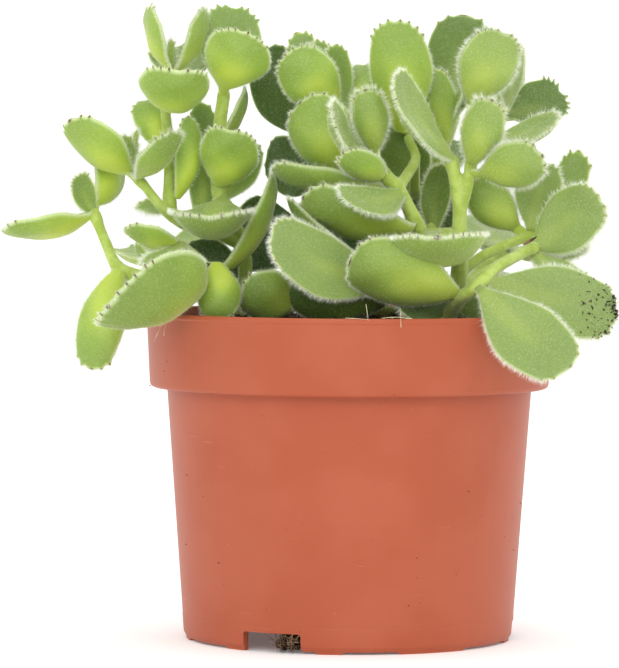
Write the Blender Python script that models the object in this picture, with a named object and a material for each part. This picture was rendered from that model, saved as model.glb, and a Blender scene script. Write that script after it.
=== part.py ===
"""A bear's paw plant (Cotyledon tomentosa) growing in a small moulded nursery pot.

The pot stands on its feet with its axis on Z and its underside at z = 0.
The plant's own points are in millimetres from the centre of the rim's top face,
with +X to the right, -Y to the front and +Z up. Each leaf is a thick solid of its own
that sits on its stem with a small gap, where the real leaf would snap off.
"""
import math

import bmesh
import bpy
from mathutils import Matrix, Vector
from mathutils.bvhtree import BVHTree

MM = 0.001

# Pot
POT_HEIGHT = 85.0
RIM_RADIUS = 53.0
BASE_RADIUS = 42.7
WALL = 1.5
BAND_HEIGHT = 19.7
BAND_STEP = 4.45
BAND_TAPER = 0.9
BAND_CORNER = 1.5
LIP_BEAD = 0.3
LIP_HEIGHT = 1.1
EDGE_ROUND = 0.4
BASE_ROUND = 1.0
BASE_ROUND_REACH = 2.4
CORNER_INSET = 0.3
FLOOR_LIFT = 5.0
FLOOR_THICKNESS = 1.6
FOOT_HEIGHT = 0.6
CENTRE_FOOT_RADIUS = 8.0
NOTCH_COUNT = 3
NOTCH_WIDTH = 16.4
NOTCH_AZIMUTH = -117.6
# Feet: each is the first and last direction, in degrees from the notch before it.
FEET = ((16.0, 26.0), (45.0, 72.0), (100.0, 109.0))
DRAIN_SLOT_WIDTH = 3.6
DRAIN_SLOT_MARGIN = 2.0
POT_FACETS = 72

# Soil
GAP = 0.3
WELD = 0.01
SOIL_EDGE_DEPTH = 4.0
SOIL_DOME = 3.0
SOIL_FACETS = 24

# Plant
PLANT_RIM_RADIUS = 53.0
STEM_SIDES = 6
LEAF_GAP = 0.45
STEM_STEP = 4.0
LEAF_THICKNESS = 0.27
LEAF_UNDERSIDE_SHARE = 0.64
LEAF_BEND = 0.1
LEAF_CUP = 0.12
PETIOLE_HALF_WIDTH = 1.5
PETIOLE_WIDTH_SHARE = 0.3
TOOTH_HEIGHT = 0.7
NOTCH_BETWEEN_TEETH = 0.4
WIDEST_SHOULDER = 153.0
SHOULDER_PER_TOOTH = 4.5
FEWEST_TEETH = 3
SIDE_FIRST = 34.0
SIDE_LAST_BEFORE_SHOULDER = 24.0
SIDE_POINTS = 3
SIDE_POINTS_FEW_TEETH = 4
LENGTH_POWER = 0.75
STALK_POWER = 1.3
APEX_POWER = 0.7
STALK_SHARE = 0.6
HUB_SHARE = 0.72
RING_SHARE = 0.68
APEX_THINNING = 0.55
FULLNESS_POWER = 0.8
FULL_TEETH_WIDTH = 10.0

plant_scale = RIM_RADIUS / PLANT_RIM_RADIUS
rim_bottom = POT_HEIGHT - BAND_HEIGHT
body_top_radius = RIM_RADIUS - LIP_BEAD - BAND_TAPER - BAND_STEP
floor_top = FLOOR_LIFT + FLOOR_THICKNESS

# Stems: each is a list of branches, and a branch is (radius at its foot, radius at its tip, points).
STEMS = {
    "stem_left": [
        (2.2, 1.7, [(-30, 0, -10), (-28, 3, 4), (-28, 4, 17), (-31, 3, 23), (-34, 2, 31), (-34, 2, 47),
                    (-33, 1, 56)]),
        (1.7, 1.3, [(-28, 4, 17), (-37, 0, 21), (-46, -3, 25), (-47, -1, 42), (-48, 0, 52), (-46, 1, 61)]),
        (1.4, 1.2, [(-46, -3, 24), (-49, -5, 27), (-53, -5, 32), (-55, -4, 34)]),
        (2.0, 1.3, [(-30, 0, -8), (-35, -12, 2), (-41, -18, 7), (-51, -18, 9), (-59, -17, 11),
                    (-63, -12, 18), (-66, -8, 25)]),
        (1.8, 1.2, [(-30, 0, -8), (-33, -10, 2), (-35, -17, 9), (-39, -20, 14), (-43, -21, 17)]),
        (1.8, 1.4, [(-30, 0, -8), (-34, 16, 2), (-40, 26, 8), (-46, 32, 14)]),
    ],
    "stem_centre": [
        (2.4, 1.6, [(18, -4, -10), (20, -5, 2), (20, -6, 12), (19, -7, 18), (16, -9, 25), (12, -9, 32),
                    (9, -9, 35), (6, -8, 39)]),
        (1.5, 1.2, [(12, -9, 32), (15, -3, 36), (17, 2, 40), (15, 4, 45)]),
        (1.4, 1.2, [(6, -8, 38), (4, -4, 43), (0, 1, 48), (-3, 5, 51)]),
        (1.8, 1.4, [(18, -4, -8), (14, -14, 0), (13, -20, 6), (10, -23, 12)]),
        (1.7, 1.3, [(14, -14, 0), (4, -15, 1), (-6, -17, 3), (-11, -20, 5)]),
        (2.0, 1.4, [(18, -4, -8), (6, 12, 2), (-2, 18, 16), (-5, 18, 32), (-10, 17, 45)]),
    ],
    "stem_right": [
        (2.6, 1.6, [(26, -10, -10), (27, -12, 2), (28, -13, 12), (28, -12, 20), (28, -12, 27),
                    (27, -10, 34), (26, -9, 39)]),
        (1.7, 1.3, [(28, -12, 26), (30, -11, 33), (31, -10, 40), (30, -9, 46), (31, -8, 52)]),
        (1.3, 1.2, [(31, -10, 38), (34, -4, 42), (38, 1, 47), (40, 5, 52)]),
        (1.5, 1.3, [(28, -13, 10), (33, -9, 14), (39, -6, 17), (47, -2, 20)]),
        (2.0, 1.4, [(26, -10, -8), (25, -21, -1), (27, -30, 4), (31, -35, 7), (35, -32, 11), (40, -25, 14),
                    (47, -15, 17)]),
        (2.2, 1.4, [(26, -10, -8), (25, 4, 2), (22, 12, 16), (21, 13, 31), (24, 12, 42), (27, 11, 50)]),
        (1.6, 1.3, [(25, 4, 1), (30, 18, 6), (36, 26, 11), (42, 30, 16)]),
    ],
}

# Leaves: (name, base, tip, width, direction that the upper face looks, number of teeth, curl)
LEAVES = [
    ("left_tip_1", (-67, -8, 25), (-89, -14, 21), 13, (0.05, 0.35, 0.95), 3, 1.0),
    ("left_tip_2", (-66, -5, 28), (-61, 10, 40), 12, (-0.6, 0.7, 0.2), 3, 1.0),
    ("left_fan_1", (-57, -4, 36), (-72, -12, 49), 13, (0.35, 0.75, 0.55), 3, 1.0),
    ("left_fan_2", (-55, -6, 35), (-46, -18, 46), 11, (-0.6, 0.5, 0.6), 3, 1.0),
    ("left_top_1", (-47, 0, 63), (-53, 4, 78), 10, (0.9, 0.25, 0.3), 3, 0.8),
    ("left_top_2", (-45, 0, 63), (-38, 4, 78), 10, (-0.85, 0.3, 0.35), 3, 0.8),
    ("left_top_3", (-46, -3, 53), (-44, -21, 62), 17, (0.05, 0.5, 0.85), 5, 1.4),
    ("left_top_4", (-45, 4, 59), (-41, 21, 70), 12, (-0.3, -0.8, 0.5), 3, 1.0),
    ("left_crown_1", (-33, -2, 58), (-28, -11, 72), 16, (0.1, 0.9, 0.35), 5, 1.0),
    ("left_crown_2", (-33, 4, 58), (-31, 13, 79), 15, (0.1, -0.95, 0.1), 5, 1.0),
    ("left_broad_1", (-34, 0, 33), (-31, -13, 47), 14, (0.05, 0.95, 0.2), 5, 1.0),
    ("left_broad_2", (-45, -3, 29), (-42, -5, 50), 7, (-0.5, 0.8, 0.1), 3, 1.0),
    ("left_broad_3", (-48, 1, 41), (-55, 8, 54), 8, (-0.2, 0.9, 0.2), 3, 1.0),
    ("left_broad_4", (-33, -2, 29), (-35, -33, 25), 20, (0, -0.3, 1), 5, 1.4),
    ("left_low_1", (-44, -21, 18), (-57, -26, 22), 8, (0, 0.6, 0.8), 3, 1.0),
    ("left_low_2", (-34, -15, 10), (-20, 1, 35), 11, (-0.7, 0.35, 0.6), 3, 1.2),
    ("left_low_3", (-34, -25, 13), (-34, -31, -1), 10, (-0.2, 0.95, -0.2), 3, 1.0),
    ("left_low_4", (-39.5, -21, 11.2), (-60, -51.5, 3.4), 27, (-0.37, 0.35, 0.71), 7, 1.5),
    ("left_low_5", (-59, -18, 11), (-66, -24, -14), 11, (0.2, 0.95, -0.1), 3, 1.0),
    ("left_low_6", (-43, -22, 18), (-50, -38, 12), 8.5, (-0.2, -0.7, 0.65), 3, 1.0),
    ("left_back_1", (-28, 5, 11), (-18, 16, 27), 19, (0.2, -0.95, 0.2), 3, 1.0),
    ("centre_back_1", (-10, 18, 45), (-23, 25, 68), 17, (-0.2, -0.9, -0.4), 3, 1.0),
    ("centre_back_2", (-6, 16, 34), (-22, 25, 41), 15, (-0.2, -0.9, -0.3), 3, 1.0),
    ("centre_back_3", (17, 9, 29), (13, 6, 49), 12, (-0.2, -0.95, 0), 3, 1.0),
    ("centre_back_4", (21, 14, 14), (24, 23, 33), 14, (0.1, -0.95, 0.1), 3, 1.0),
    ("centre_back_5", (-2, 19, 16), (-8, 46, 14), 16, (0, -0.3, 0.95), 5, 1.0),
    ("centre_back_6", (-4, 19, 32), (4, 40, 40), 14, (-0.2, -0.6, 0.8), 3, 1.0),
    ("centre_back_7", (4, 14, 4), (1, 17, 26), 18, (0, -0.95, 0.1), 3, 1.0),
    ("centre_top_1", (-4, 2, 52), (-16, -5, 67), 13.5, (-0.1, 0.9, 0.35), 5, 1.0),
    ("centre_top_2", (4, -1, 45), (2, 12, 64), 9, (0.1, 0.9, 0.3), 3, 1.0),
    ("centre_mid_1", (4, -4, 37), (-13, -7, 54), 17, (0.2, 0.9, 0.35), 3, 1.0),
    ("centre_mid_2", (4, -12, 39), (-5, -27, 52), 11, (0.35, -0.6, 0.6), 3, 1.0),
    ("centre_mid_3", (6, -10, 42), (3.5, -17, 57), 8, (0, 0.95, 0.3), 3, 1.0),
    ("centre_mid_4", (13, -12, 31), (-2, -33, 30), 10, (0, -0.8, 0.55), 3, 0.6),
    ("centre_mid_5", (16, -11, 22), (-12, -19, 30), 16, (-0.1, 0.6, 0.8), 3, 1.2),
    ("centre_mid_6", (10, -7, 33), (-20, -9, 37), 13, (-0.2, 0.3, 0.93), 3, 1.0),
    ("centre_low_1", (10, -25, 8), (-20, -41, 20.5), 16, (-0.2, -0.85, 0.5), 5, 1.0),
    ("centre_low_2", (10, -20, 4), (-16, -25, 6), 13, (0, 0.95, 0.25), 3, 1.0),
    ("centre_low_3", (27, -31, 6), (0, -36, 14), 17, (-0.1, 0.85, 0.5), 3, 1.0),
    ("centre_low_4", (25, -15, 21), (21, -49, 20.5), 23, (-0.1, 0.3, 0.95), 7, 1.3),
    ("right_top_1", (26, -10, 40), (11, -23, 60), 14, (0.7, -0.45, 0.5), 3, 1.0),
    ("right_top_2", (13, 4, 47), (11, -3, 75), 15, (0, 0.97, 0.1), 5, 1.0),
    ("right_top_3", (27, 12, 51), (30, 15, 77), 16, (-0.1, -0.95, 0), 3, 1.0),
    ("right_top_4", (31, -8, 54), (39, -15, 72), 13, (0.05, 0.9, 0.4), 5, 1.0),
    ("right_mid_1", (31, -13, 39), (35.5, -21, 54.5), 9.5, (0.2, 0.9, 0.4), 3, 1.0),
    ("right_mid_2", (42, 3, 51), (55, 7, 57), 13, (-0.3, -0.85, 0.4), 5, 1.0),
    ("right_mid_3", (37, -1, 45), (53, -8, 50), 10, (-0.1, -0.6, 0.8), 3, 1.0),
    ("right_mid_4", (34, -13, 36), (48, -23, 41), 12, (0.1, 0.85, 0.5), 3, 1.0),
    ("right_side_1", (43, 1, 22), (32, -3, 34), 10, (-0.1, 0.9, 0.3), 3, 1.0),
    ("right_side_2", (47, -3, 22), (50, 1, 39), 11, (0, -0.9, 0.3), 3, 1.0),
    ("right_side_3", (49, 0, 21), (60, 9, 41), 9, (-0.3, -0.9, 0.2), 3, 1.0),
    ("right_low_1", (47, -12, 17), (64, -18, 29), 17, (-0.1, -0.85, 0.5), 5, 1.0),
    ("right_low_2", (35, -34, 8.5), (66.5, -33, 0), 17, (-0.1, -0.9, 0.45), 3, 1.0),
    ("right_low_3", (33, -41, 6.5), (53.5, -55.5, -12), 16, (0.1, -0.95, 0.2), 3, 0.6),
    ("right_back_1", (21, 14, 36), (24, 37, 45), 13, (0, -0.4, 0.9), 3, 1.0),
]

# Young leaves, which are still of one piece with the stem that they grow on.
YOUNG_LEAVES = {
    "stem_left": [
        ((-66, -8, 25), (-70, -14, 35), 6, (0.3, -0.9, 0.3), 5, 1.0),
        ((-46, 1, 60), (-52, 10, 67), 5, (0.3, -0.3, 0.9), 3, 1.0),
        ((-34, 2, 45), (-28, 13, 57), 9, (-0.8, 0.1, 0.5), 3, 1.0),
        ((-34, 2, 29), (-25, 1, 44), 9, (-0.3, -0.9, 0.1), 3, 1.0),
        ((-39, -1, 22), (-39, 9, 54), 8, (0.3, -0.9, 0.2), 3, 1.0),
        ((-58, -17, 10), (-49, -3, 5), 11, (0, 0.5, 0.85), 3, 1.0),
        ((-43, -18, 8), (-55, -14, 17), 9, (0, 0.3, 1), 3, 1.0),
        ((-46, 32, 13), (-61, 42, 15), 13, (0.3, -0.3, 0.9), 3, 1.0),
        ((-45, 31, 13), (-36, 54, 22), 14, (-0.2, -0.5, 0.8), 5, 1.0),
        ((-40, 26, 9), (-24, 50, 6), 13, (0.1, 0.2, 0.95), 3, 1.0),
        ((-32.5, -8, 0), (-41, -5, 18), 14, (0.1, -0.95, 0.1), 3, 1.0),
    ],
    "stem_centre": [
        ((10, -23, 12), (-16, -11, 29), 11, (-0.2, 0.3, 0.9), 3, 1.0),
        ((-11, -20, 5), (-28, -26, 5.5), 13, (0.1, 0.9, 0.3), 3, 1.0),
        ((-3, 5, 50), (-14, 16, 72), 9, (-0.3, -0.9, 0.3), 3, 1.0),
        ((-3, 5, 50), (-9, 9, 70), 7, (0.2, -0.9, 0.3), 3, 1.0),
        ((-3, 4, 51), (-4, 3, 69), 6, (-0.1, -0.95, 0.2), 3, 1.0),
        ((8, -9, 35), (-2, -25, 41), 8, (-0.2, 0.6, 0.7), 3, 1.0),
    ],
    "stem_right": [
        ((24, 12, 42), (21, 2, 63), 8, (0, 0.9, 0.3), 3, 1.0),
        ((26, 11, 46), (31, 4, 60), 8, (0.9, -0.2, 0.2), 3, 1.0),
        ((40, 5, 51), (33, 4, 57), 7, (0, -0.8, 0.5), 3, 1.0),
        ((40, 5, 51), (44, 17, 69), 8, (-0.8, -0.5, 0.2), 3, 1.0),
        ((47, -15, 16), (59, -24, 9), 8, (0, -0.5, 0.85), 3, 1.0),
        ((42, 29, 16), (59, 36, 16), 12, (-0.3, -0.3, 0.9), 3, 1.0),
        ((42, 29, 16), (34, 52, 24), 13, (0.1, -0.5, 0.8), 5, 1.0),
        ((36, 26, 11), (50, 46, 3), 13, (0, 0.2, 0.95), 3, 1.0),
        ((26, -22, 2), (12, -31, 3), 9, (0.2, -0.9, 0.4), 3, 1.0),
        ((27, -12, 2), (46, -19, 5), 11, (0, -0.8, 0.6), 3, 1.0),
        ((22, 12, 20), (24, 5, 38), 7, (0.1, -0.95, 0.2), 3, 1.0),
    ],
}


def material(name, colour, roughness, metallic=0.0):
    """A Principled material in one linear colour."""
    made = bpy.data.materials.new(name)
    made.use_nodes = True
    shader = made.node_tree.nodes["Principled BSDF"]
    shader.inputs["Base Color"].default_value = (*colour, 1.0)
    shader.inputs["Roughness"].default_value = roughness
    shader.inputs["Metallic"].default_value = metallic
    return made


def object_from_bmesh(shape, name, finish):
    """Turns a bmesh into a named, smooth-shaded object with one material."""
    mesh = bpy.data.meshes.new(name)
    shape.to_mesh(mesh)
    shape.free()
    mesh.materials.append(finish)
    mesh.shade_smooth()
    made = bpy.data.objects.new(name, mesh)
    bpy.context.scene.collection.objects.link(made)
    return made


def turned(profile, facets, name, finish):
    """Spins a closed profile of (radius, height) points, both ends on the axis, into a solid."""
    shape = bmesh.new()
    points = [shape.verts.new((radius * MM, 0.0, height * MM)) for radius, height in profile]
    edges = [shape.edges.new(pair) for pair in zip(points, points[1:])]
    up = (0, 0, 1)
    bmesh.ops.spin(shape, geom=points + edges, axis=up, cent=(0, 0, 0), angle=math.tau, steps=facets)
    bmesh.ops.remove_doubles(shape, verts=shape.verts, dist=WELD * MM)
    bmesh.ops.recalc_face_normals(shape, faces=shape.faces)
    return object_from_bmesh(shape, name, finish)


def cut(target, cutter):
    """Takes the cutter's volume out of the target and removes the cutter."""
    step = target.modifiers.new("cut", "BOOLEAN")
    step.operation = "DIFFERENCE"
    step.solver = "EXACT"
    step.object = cutter
    apply_modifiers(target)
    bpy.data.objects.remove(cutter)


def apply_modifiers(target):
    """Replaces the object's mesh with its evaluated one."""
    view = bpy.context.evaluated_depsgraph_get()
    view.update()
    fresh = bpy.data.meshes.new_from_object(target.evaluated_get(view))
    target.modifiers.clear()
    target.data = fresh
    fresh.shade_smooth()


def box(size, centre, azimuth, name):
    """A cutter box turned about Z to the azimuth, with its centre that far along it."""
    shape = bmesh.new()
    bmesh.ops.create_cube(shape, size=1.0)
    turn = Matrix.Rotation(math.radians(azimuth), 4, "Z")
    place = turn @ Matrix.Translation(Vector(centre) * MM)
    stretch = Matrix.Diagonal((*[side * MM for side in size], 1.0))
    bmesh.ops.transform(shape, matrix=place @ stretch, verts=shape.verts)
    return object_from_bmesh(shape, name, None)


def pot_profile():
    """The pot's section from the centre of its underside, up its outside and down its inside."""
    band_bottom_radius = RIM_RADIUS - LIP_BEAD - BAND_TAPER
    inside_base = BASE_RADIUS - WALL
    outside_top = RIM_RADIUS - LIP_BEAD
    lip_bottom = POT_HEIGHT - LIP_HEIGHT
    return [
        (0, 0),
        (CENTRE_FOOT_RADIUS, 0),
        (CENTRE_FOOT_RADIUS, FLOOR_LIFT),
        (inside_base - BASE_ROUND, FLOOR_LIFT),
        (inside_base - BASE_ROUND, FOOT_HEIGHT),
        (BASE_RADIUS - BASE_ROUND, FOOT_HEIGHT),
        (BASE_RADIUS - CORNER_INSET * BASE_ROUND, FOOT_HEIGHT + BASE_ROUND),
        (BASE_RADIUS, FOOT_HEIGHT + BASE_ROUND_REACH * BASE_ROUND),
        (body_top_radius, rim_bottom),
        (band_bottom_radius - BAND_CORNER, rim_bottom),
        (band_bottom_radius - CORNER_INSET * BAND_CORNER, rim_bottom + CORNER_INSET * BAND_CORNER),
        (band_bottom_radius, rim_bottom + BAND_CORNER),
        (outside_top, lip_bottom - EDGE_ROUND),
        (RIM_RADIUS, lip_bottom),
        (RIM_RADIUS, POT_HEIGHT - EDGE_ROUND),
        (RIM_RADIUS - EDGE_ROUND, POT_HEIGHT),
        (outside_top - WALL + EDGE_ROUND, POT_HEIGHT),
        (outside_top - WALL, POT_HEIGHT - EDGE_ROUND),
        (band_bottom_radius - WALL, rim_bottom + WALL),
        (body_top_radius - WALL, rim_bottom + WALL),
        (inside_base, floor_top),
        (0, floor_top),
    ]


def on_foot(azimuth):
    """Whether the pot stands on a foot in that direction."""
    past_notch = (azimuth - NOTCH_AZIMUTH) % (360.0 / NOTCH_COUNT)
    return any(first <= past_notch <= last for first, last in FEET)


def make_pot(finish):
    """The pot with its low feet, its drain notches and the slots behind them."""
    pot = turned(pot_profile(), POT_FACETS, "pot", finish)
    for vertex in pot.data.vertices:
        azimuth = math.degrees(math.atan2(vertex.co.y, vertex.co.x))
        on_edge = abs(vertex.co.z - FOOT_HEIGHT * MM) < WELD * MM
        if on_edge and on_foot(azimuth):
            vertex.co.z = 0.0
    slot_outside = BASE_RADIUS - WALL - BASE_ROUND - DRAIN_SLOT_MARGIN
    for number in range(NOTCH_COUNT):
        azimuth = NOTCH_AZIMUTH + number * 360.0 / NOTCH_COUNT
        reach = 3.0 * WALL + BASE_ROUND
        wall_cut = (reach, NOTCH_WIDTH, 2 * FLOOR_LIFT)
        cut(pot, box(wall_cut, (BASE_RADIUS - WALL / 2, 0, 0), azimuth, "notch_cutter"))
        slot_cut = (DRAIN_SLOT_WIDTH, NOTCH_WIDTH, 4 * FLOOR_THICKNESS)
        slot_centre = (slot_outside - DRAIN_SLOT_WIDTH / 2, 0, floor_top - FLOOR_THICKNESS)
        cut(pot, box(slot_cut, slot_centre, azimuth, "slot_cutter"))
    return pot


def make_soil(name, growth, finish):
    """The soil, which fills the pot to a little under the rim and rises to the middle."""
    loose = GAP + (1 - math.cos(math.pi / POT_FACETS)) * RIM_RADIUS
    band_inside = RIM_RADIUS - LIP_BEAD - BAND_TAPER - WALL - loose
    edge = POT_HEIGHT - SOIL_EDGE_DEPTH + growth
    profile = [
        (0, floor_top + GAP),
        (BASE_RADIUS - WALL - loose, floor_top + GAP),
        (body_top_radius - WALL - loose, rim_bottom + WALL + GAP),
        (band_inside, rim_bottom + WALL + GAP),
        (band_inside, edge),
    ]
    for share in (0.8, 0.5, 0.25, 0.0):
        profile.append((band_inside * share, edge + SOIL_DOME * (1 - share * share)))
    return turned(profile, SOIL_FACETS, name, finish)


def in_plant(point):
    """A point of the plant's layout, in metres, on the rim's centre."""
    return (Vector(point) * plant_scale + Vector((0, 0, POT_HEIGHT))) * MM


def smooth_route(points):
    """Evenly spaced points on a Catmull-Rom curve through the route's own points."""
    ends = [2 * points[0] - points[1]] + points + [2 * points[-1] - points[-2]]
    route = []
    for before, start, end, after in zip(ends, ends[1:], ends[2:], ends[3:]):
        steps = max(1, round((end - start).length / (STEM_STEP * MM)))
        for step in range(steps):
            t = step / steps
            pull = -before + 3 * start - 3 * end + after
            ease = 2 * before - 5 * start + 4 * end - after
            route.append(0.5 * (pull * t**3 + ease * t**2 + (end - before) * t) + start)
    return route + [points[-1]]


def add_tube(shape, route, first_radius, last_radius):
    """Adds a closed tapering tube along the route to the bmesh."""
    side = Vector((1, 0, 0))
    rings = []
    for index, centre in enumerate(route):
        ahead = route[min(index + 1, len(route) - 1)]
        behind = route[max(index - 1, 0)]
        along = (ahead - behind).normalized()
        side = (side - along * side.dot(along)).normalized()
        across = along.cross(side)
        share = index / (len(route) - 1)
        radius = (first_radius + (last_radius - first_radius) * share) * MM
        ring = []
        for number in range(STEM_SIDES):
            angle = math.tau * number / STEM_SIDES
            outward = math.cos(angle) * side + math.sin(angle) * across
            ring.append(shape.verts.new(centre + radius * outward))
        rings.append(ring)
    for low, high in zip(rings, rings[1:]):
        for number in range(STEM_SIDES):
            following = (number + 1) % STEM_SIDES
            shape.faces.new((low[number], low[following], high[following], high[number]))
    shape.faces.new(rings[0][::-1])
    shape.faces.new(rings[-1])


def leaf_outline(teeth):
    """The leaf's edge round the apex, as (share of its length, share of its half width, tooth)."""
    shoulder = math.radians(WIDEST_SHOULDER - SHOULDER_PER_TOOTH * teeth)
    first = math.radians(SIDE_FIRST)
    last = shoulder - math.radians(SIDE_LAST_BEFORE_SHOULDER)
    side_count = SIDE_POINTS_FEW_TEETH if teeth == FEWEST_TEETH else SIDE_POINTS
    sides = []
    for number in range(side_count):
        sides.append((first + (last - first) * number / (side_count - 1), 0))
    count = 2 * teeth - 1
    apex = []
    for number in range(count):
        angle = shoulder + (2 * math.pi - 2 * shoulder) * number / (count - 1)
        apex.append((angle, 1 if number % 2 == 0 else -1))
    mirrored = [(2 * math.pi - angle, tooth) for angle, tooth in reversed(sides)]
    edge = []
    for angle, tooth in sides + apex + mirrored:
        along = ((1 - math.cos(angle)) / 2) ** LENGTH_POWER
        power = STALK_POWER if along < STALK_SHARE else APEX_POWER
        across = math.copysign(abs(math.sin(angle)) ** power, math.sin(angle))
        edge.append((along, across, tooth))
    return edge


def leaf_points(length, width, teeth):
    """The leaf's flat edge, its inner ring and its spine, all in millimetres."""
    half = width / 2
    petiole = min(PETIOLE_HALF_WIDTH, PETIOLE_WIDTH_SHARE * half)
    hub = HUB_SHARE * length
    edge = [(0.0, petiole)]
    spine = [0.0]
    inner = [(0.0, 0.5 * petiole)]
    for along, across, tooth in leaf_outline(teeth):
        x = along * length
        y = across * half + math.copysign(petiole * (1 - along), across)
        centre = min(x, hub)
        inner.append((centre + RING_SHARE * (x - centre), RING_SHARE * y))
        out = Vector((x - centre, y)).normalized()
        push = TOOTH_HEIGHT if tooth > 0 else -NOTCH_BETWEEN_TEETH if tooth < 0 else 0.0
        reach = push * min(1.0, width / FULL_TEETH_WIDTH)
        edge.append((x + out.x * reach, y + out.y * reach))
        spine.append(centre)
    edge.append((0.0, -petiole))
    inner.append((0.0, -0.5 * petiole))
    spine.append(0.0)
    return edge, inner, spine


def add_leaf(shape, leaf, growth):
    """Adds one thick, cupped leaf to the bmesh, grown all round by so many millimetres."""
    base, tip, width, face, teeth, curl = leaf
    along = (in_plant(tip) - in_plant(base)).normalized()
    start = in_plant(base) - along * growth * MM
    end = in_plant(tip) + along * growth * MM
    length = (end - start).length / MM
    width = width * plant_scale + 2 * growth
    upper = Vector(face)
    upper = (upper - along * upper.dot(along)).normalized()
    across = upper.cross(along)
    thickness = LEAF_THICKNESS * width
    bend = LEAF_BEND * curl * length
    cup = LEAF_CUP * curl * width

    def place(x, y, lift):
        share = x / length
        height = lift + 4 * bend * (share * share - share) + cup * (2 * y / width) ** 2
        return shape.verts.new(start + (along * x + across * y + upper * height) * MM)

    def lift(x, y):
        """Half the leaf's thickness there: round at the petiole, fullest in the middle."""
        share = min(max(x / length, 0.0), 1.0)
        fullness = 0.5 + 0.5 * math.sin(math.pi * share**FULLNESS_POWER)
        return thickness * fullness * math.sqrt(max(0.0, 1 - (2 * y / width) ** 2))

    edge, inner, spine = leaf_points(length, width, teeth)
    rim = [place(x, y, 0.0) for x, y in edge]
    for share, flip in ((1 - LEAF_UNDERSIDE_SHARE, False), (-LEAF_UNDERSIDE_SHARE, True)):
        skin = -growth if flip else growth
        ring = []
        for (x, y), centre in zip(inner, spine):
            near_apex = 1 - APEX_THINNING * max(0.0, (x - centre) / (length - HUB_SHARE * length))
            ring.append(place(x, y, share * lift(centre, y) * near_apex + skin))
        middle = {}
        for centre in spine:
            if centre not in middle:
                middle[centre] = place(centre, 0.0, share * lift(centre, 0.0) + skin)
        hubs = [middle[centre] for centre in spine]
        bands = [(rim, ring), (ring, hubs)]
        for outer, nearer in bands:
            for number in range(len(outer) - 1):
                corners = [outer[number], outer[number + 1], nearer[number + 1], nearer[number]]
                corners = list(dict.fromkeys(corners))
                shape.faces.new(corners if flip else corners[::-1])
        closing = [rim[0], ring[0], hubs[0], ring[-1], rim[-1]]
        shape.faces.new(closing if flip else closing[::-1])
    bmesh.ops.remove_doubles(shape, verts=shape.verts, dist=WELD * MM)
    bmesh.ops.recalc_face_normals(shape, faces=shape.faces)


def make_stem(name, branches, young_leaves, growth, finish):
    """One stem as a union of its tubes and young leaves, each grown by so many millimetres."""
    tube_growth = growth / math.cos(math.pi / STEM_SIDES)
    parts = []
    for first_radius, last_radius, points in branches:
        shape = bmesh.new()
        route = smooth_route([in_plant(point) for point in points])
        route[0] += (route[0] - route[1]).normalized() * growth * MM
        route[-1] += (route[-1] - route[-2]).normalized() * growth * MM
        foot_radius = first_radius * plant_scale + tube_growth
        tip_radius = last_radius * plant_scale + tube_growth
        add_tube(shape, route, foot_radius, tip_radius)
        parts.append(object_from_bmesh(shape, name, finish))
    for leaf in young_leaves:
        shape = bmesh.new()
        add_leaf(shape, leaf, growth)
        parts.append(object_from_bmesh(shape, name, finish))
    trunk = parts[0]
    for part in parts[1:]:
        step = trunk.modifiers.new("branch", "BOOLEAN")
        step.operation = "UNION"
        step.solver = "EXACT"
        step.object = part
        apply_modifiers(trunk)
        bpy.data.objects.remove(part)
    trunk.name = name
    return trunk


def surface_tree(target):
    """A search tree of the object's faces."""
    corners = [vertex.co for vertex in target.data.vertices]
    return BVHTree.FromPolygons(corners, [face.vertices for face in target.data.polygons])


def make_leaf(name, leaf, taken, finish):
    """One leaf, cut back from what it meets, which then keeps it at a gap from later leaves."""
    shape = bmesh.new()
    add_leaf(shape, leaf, 0.0)
    made = object_from_bmesh(shape, name, finish)
    tree = surface_tree(made)
    for space, space_tree in taken:
        if tree.overlap(space_tree):
            step = made.modifiers.new("seat", "BOOLEAN")
            step.operation = "DIFFERENCE"
            step.solver = "EXACT"
            step.object = space
    apply_modifiers(made)
    shape = bmesh.new()
    add_leaf(shape, leaf, LEAF_GAP)
    keep_clear(object_from_bmesh(shape, name + "_space", finish), taken)
    return made


def keep_clear(space, taken):
    """Hides a space and adds it to the list that later leaves are cut back from."""
    space.hide_render = True
    space.display_type = "WIRE"
    taken.append((space, surface_tree(space)))


def build():
    """Makes the pot, the soil, the stems and every leaf."""
    for old in list(bpy.data.objects):
        bpy.data.objects.remove(old)
    plastic = material("terracotta_plastic", (0.56, 0.14, 0.07), 0.45)
    earth = material("potting_soil", (0.02, 0.013, 0.008), 0.95)
    green_stem = material("green_stem", (0.42, 0.55, 0.13), 0.6)
    leaf_skin = material("leaf_skin", (0.24, 0.38, 0.06), 0.65)
    make_pot(plastic)
    soil = make_soil("soil", 0.0, earth)
    taken = []
    for name, branches in STEMS.items():
        make_stem(name, branches, YOUNG_LEAVES[name], 0.0, green_stem)
        keep_clear(make_stem(name + "_space", branches, YOUNG_LEAVES[name], LEAF_GAP, green_stem), taken)
    for space, _ in taken:
        step = soil.modifiers.new("pocket", "BOOLEAN")
        step.operation = "DIFFERENCE"
        step.solver = "EXACT"
        step.object = space
    apply_modifiers(soil)
    keep_clear(make_soil("soil_space", GAP, earth), taken)
    for name, *leaf in LEAVES:
        make_leaf("leaf_" + name, leaf, taken, leaf_skin)


build()
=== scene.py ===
# %% [markdown]
# # A bear's paw in its nursery pot
#
# The object is a young *Cotyledon tomentosa*: a small succulent with thick, velvety leaves that
# end in dark little claws, growing in a moulded plastic pot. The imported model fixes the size
# and the place of every piece. This file gives each piece the surface of the real one, and the
# cells follow the order in which a maker would work: pot, soil, stems, leaves, hairs, studio.

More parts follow.
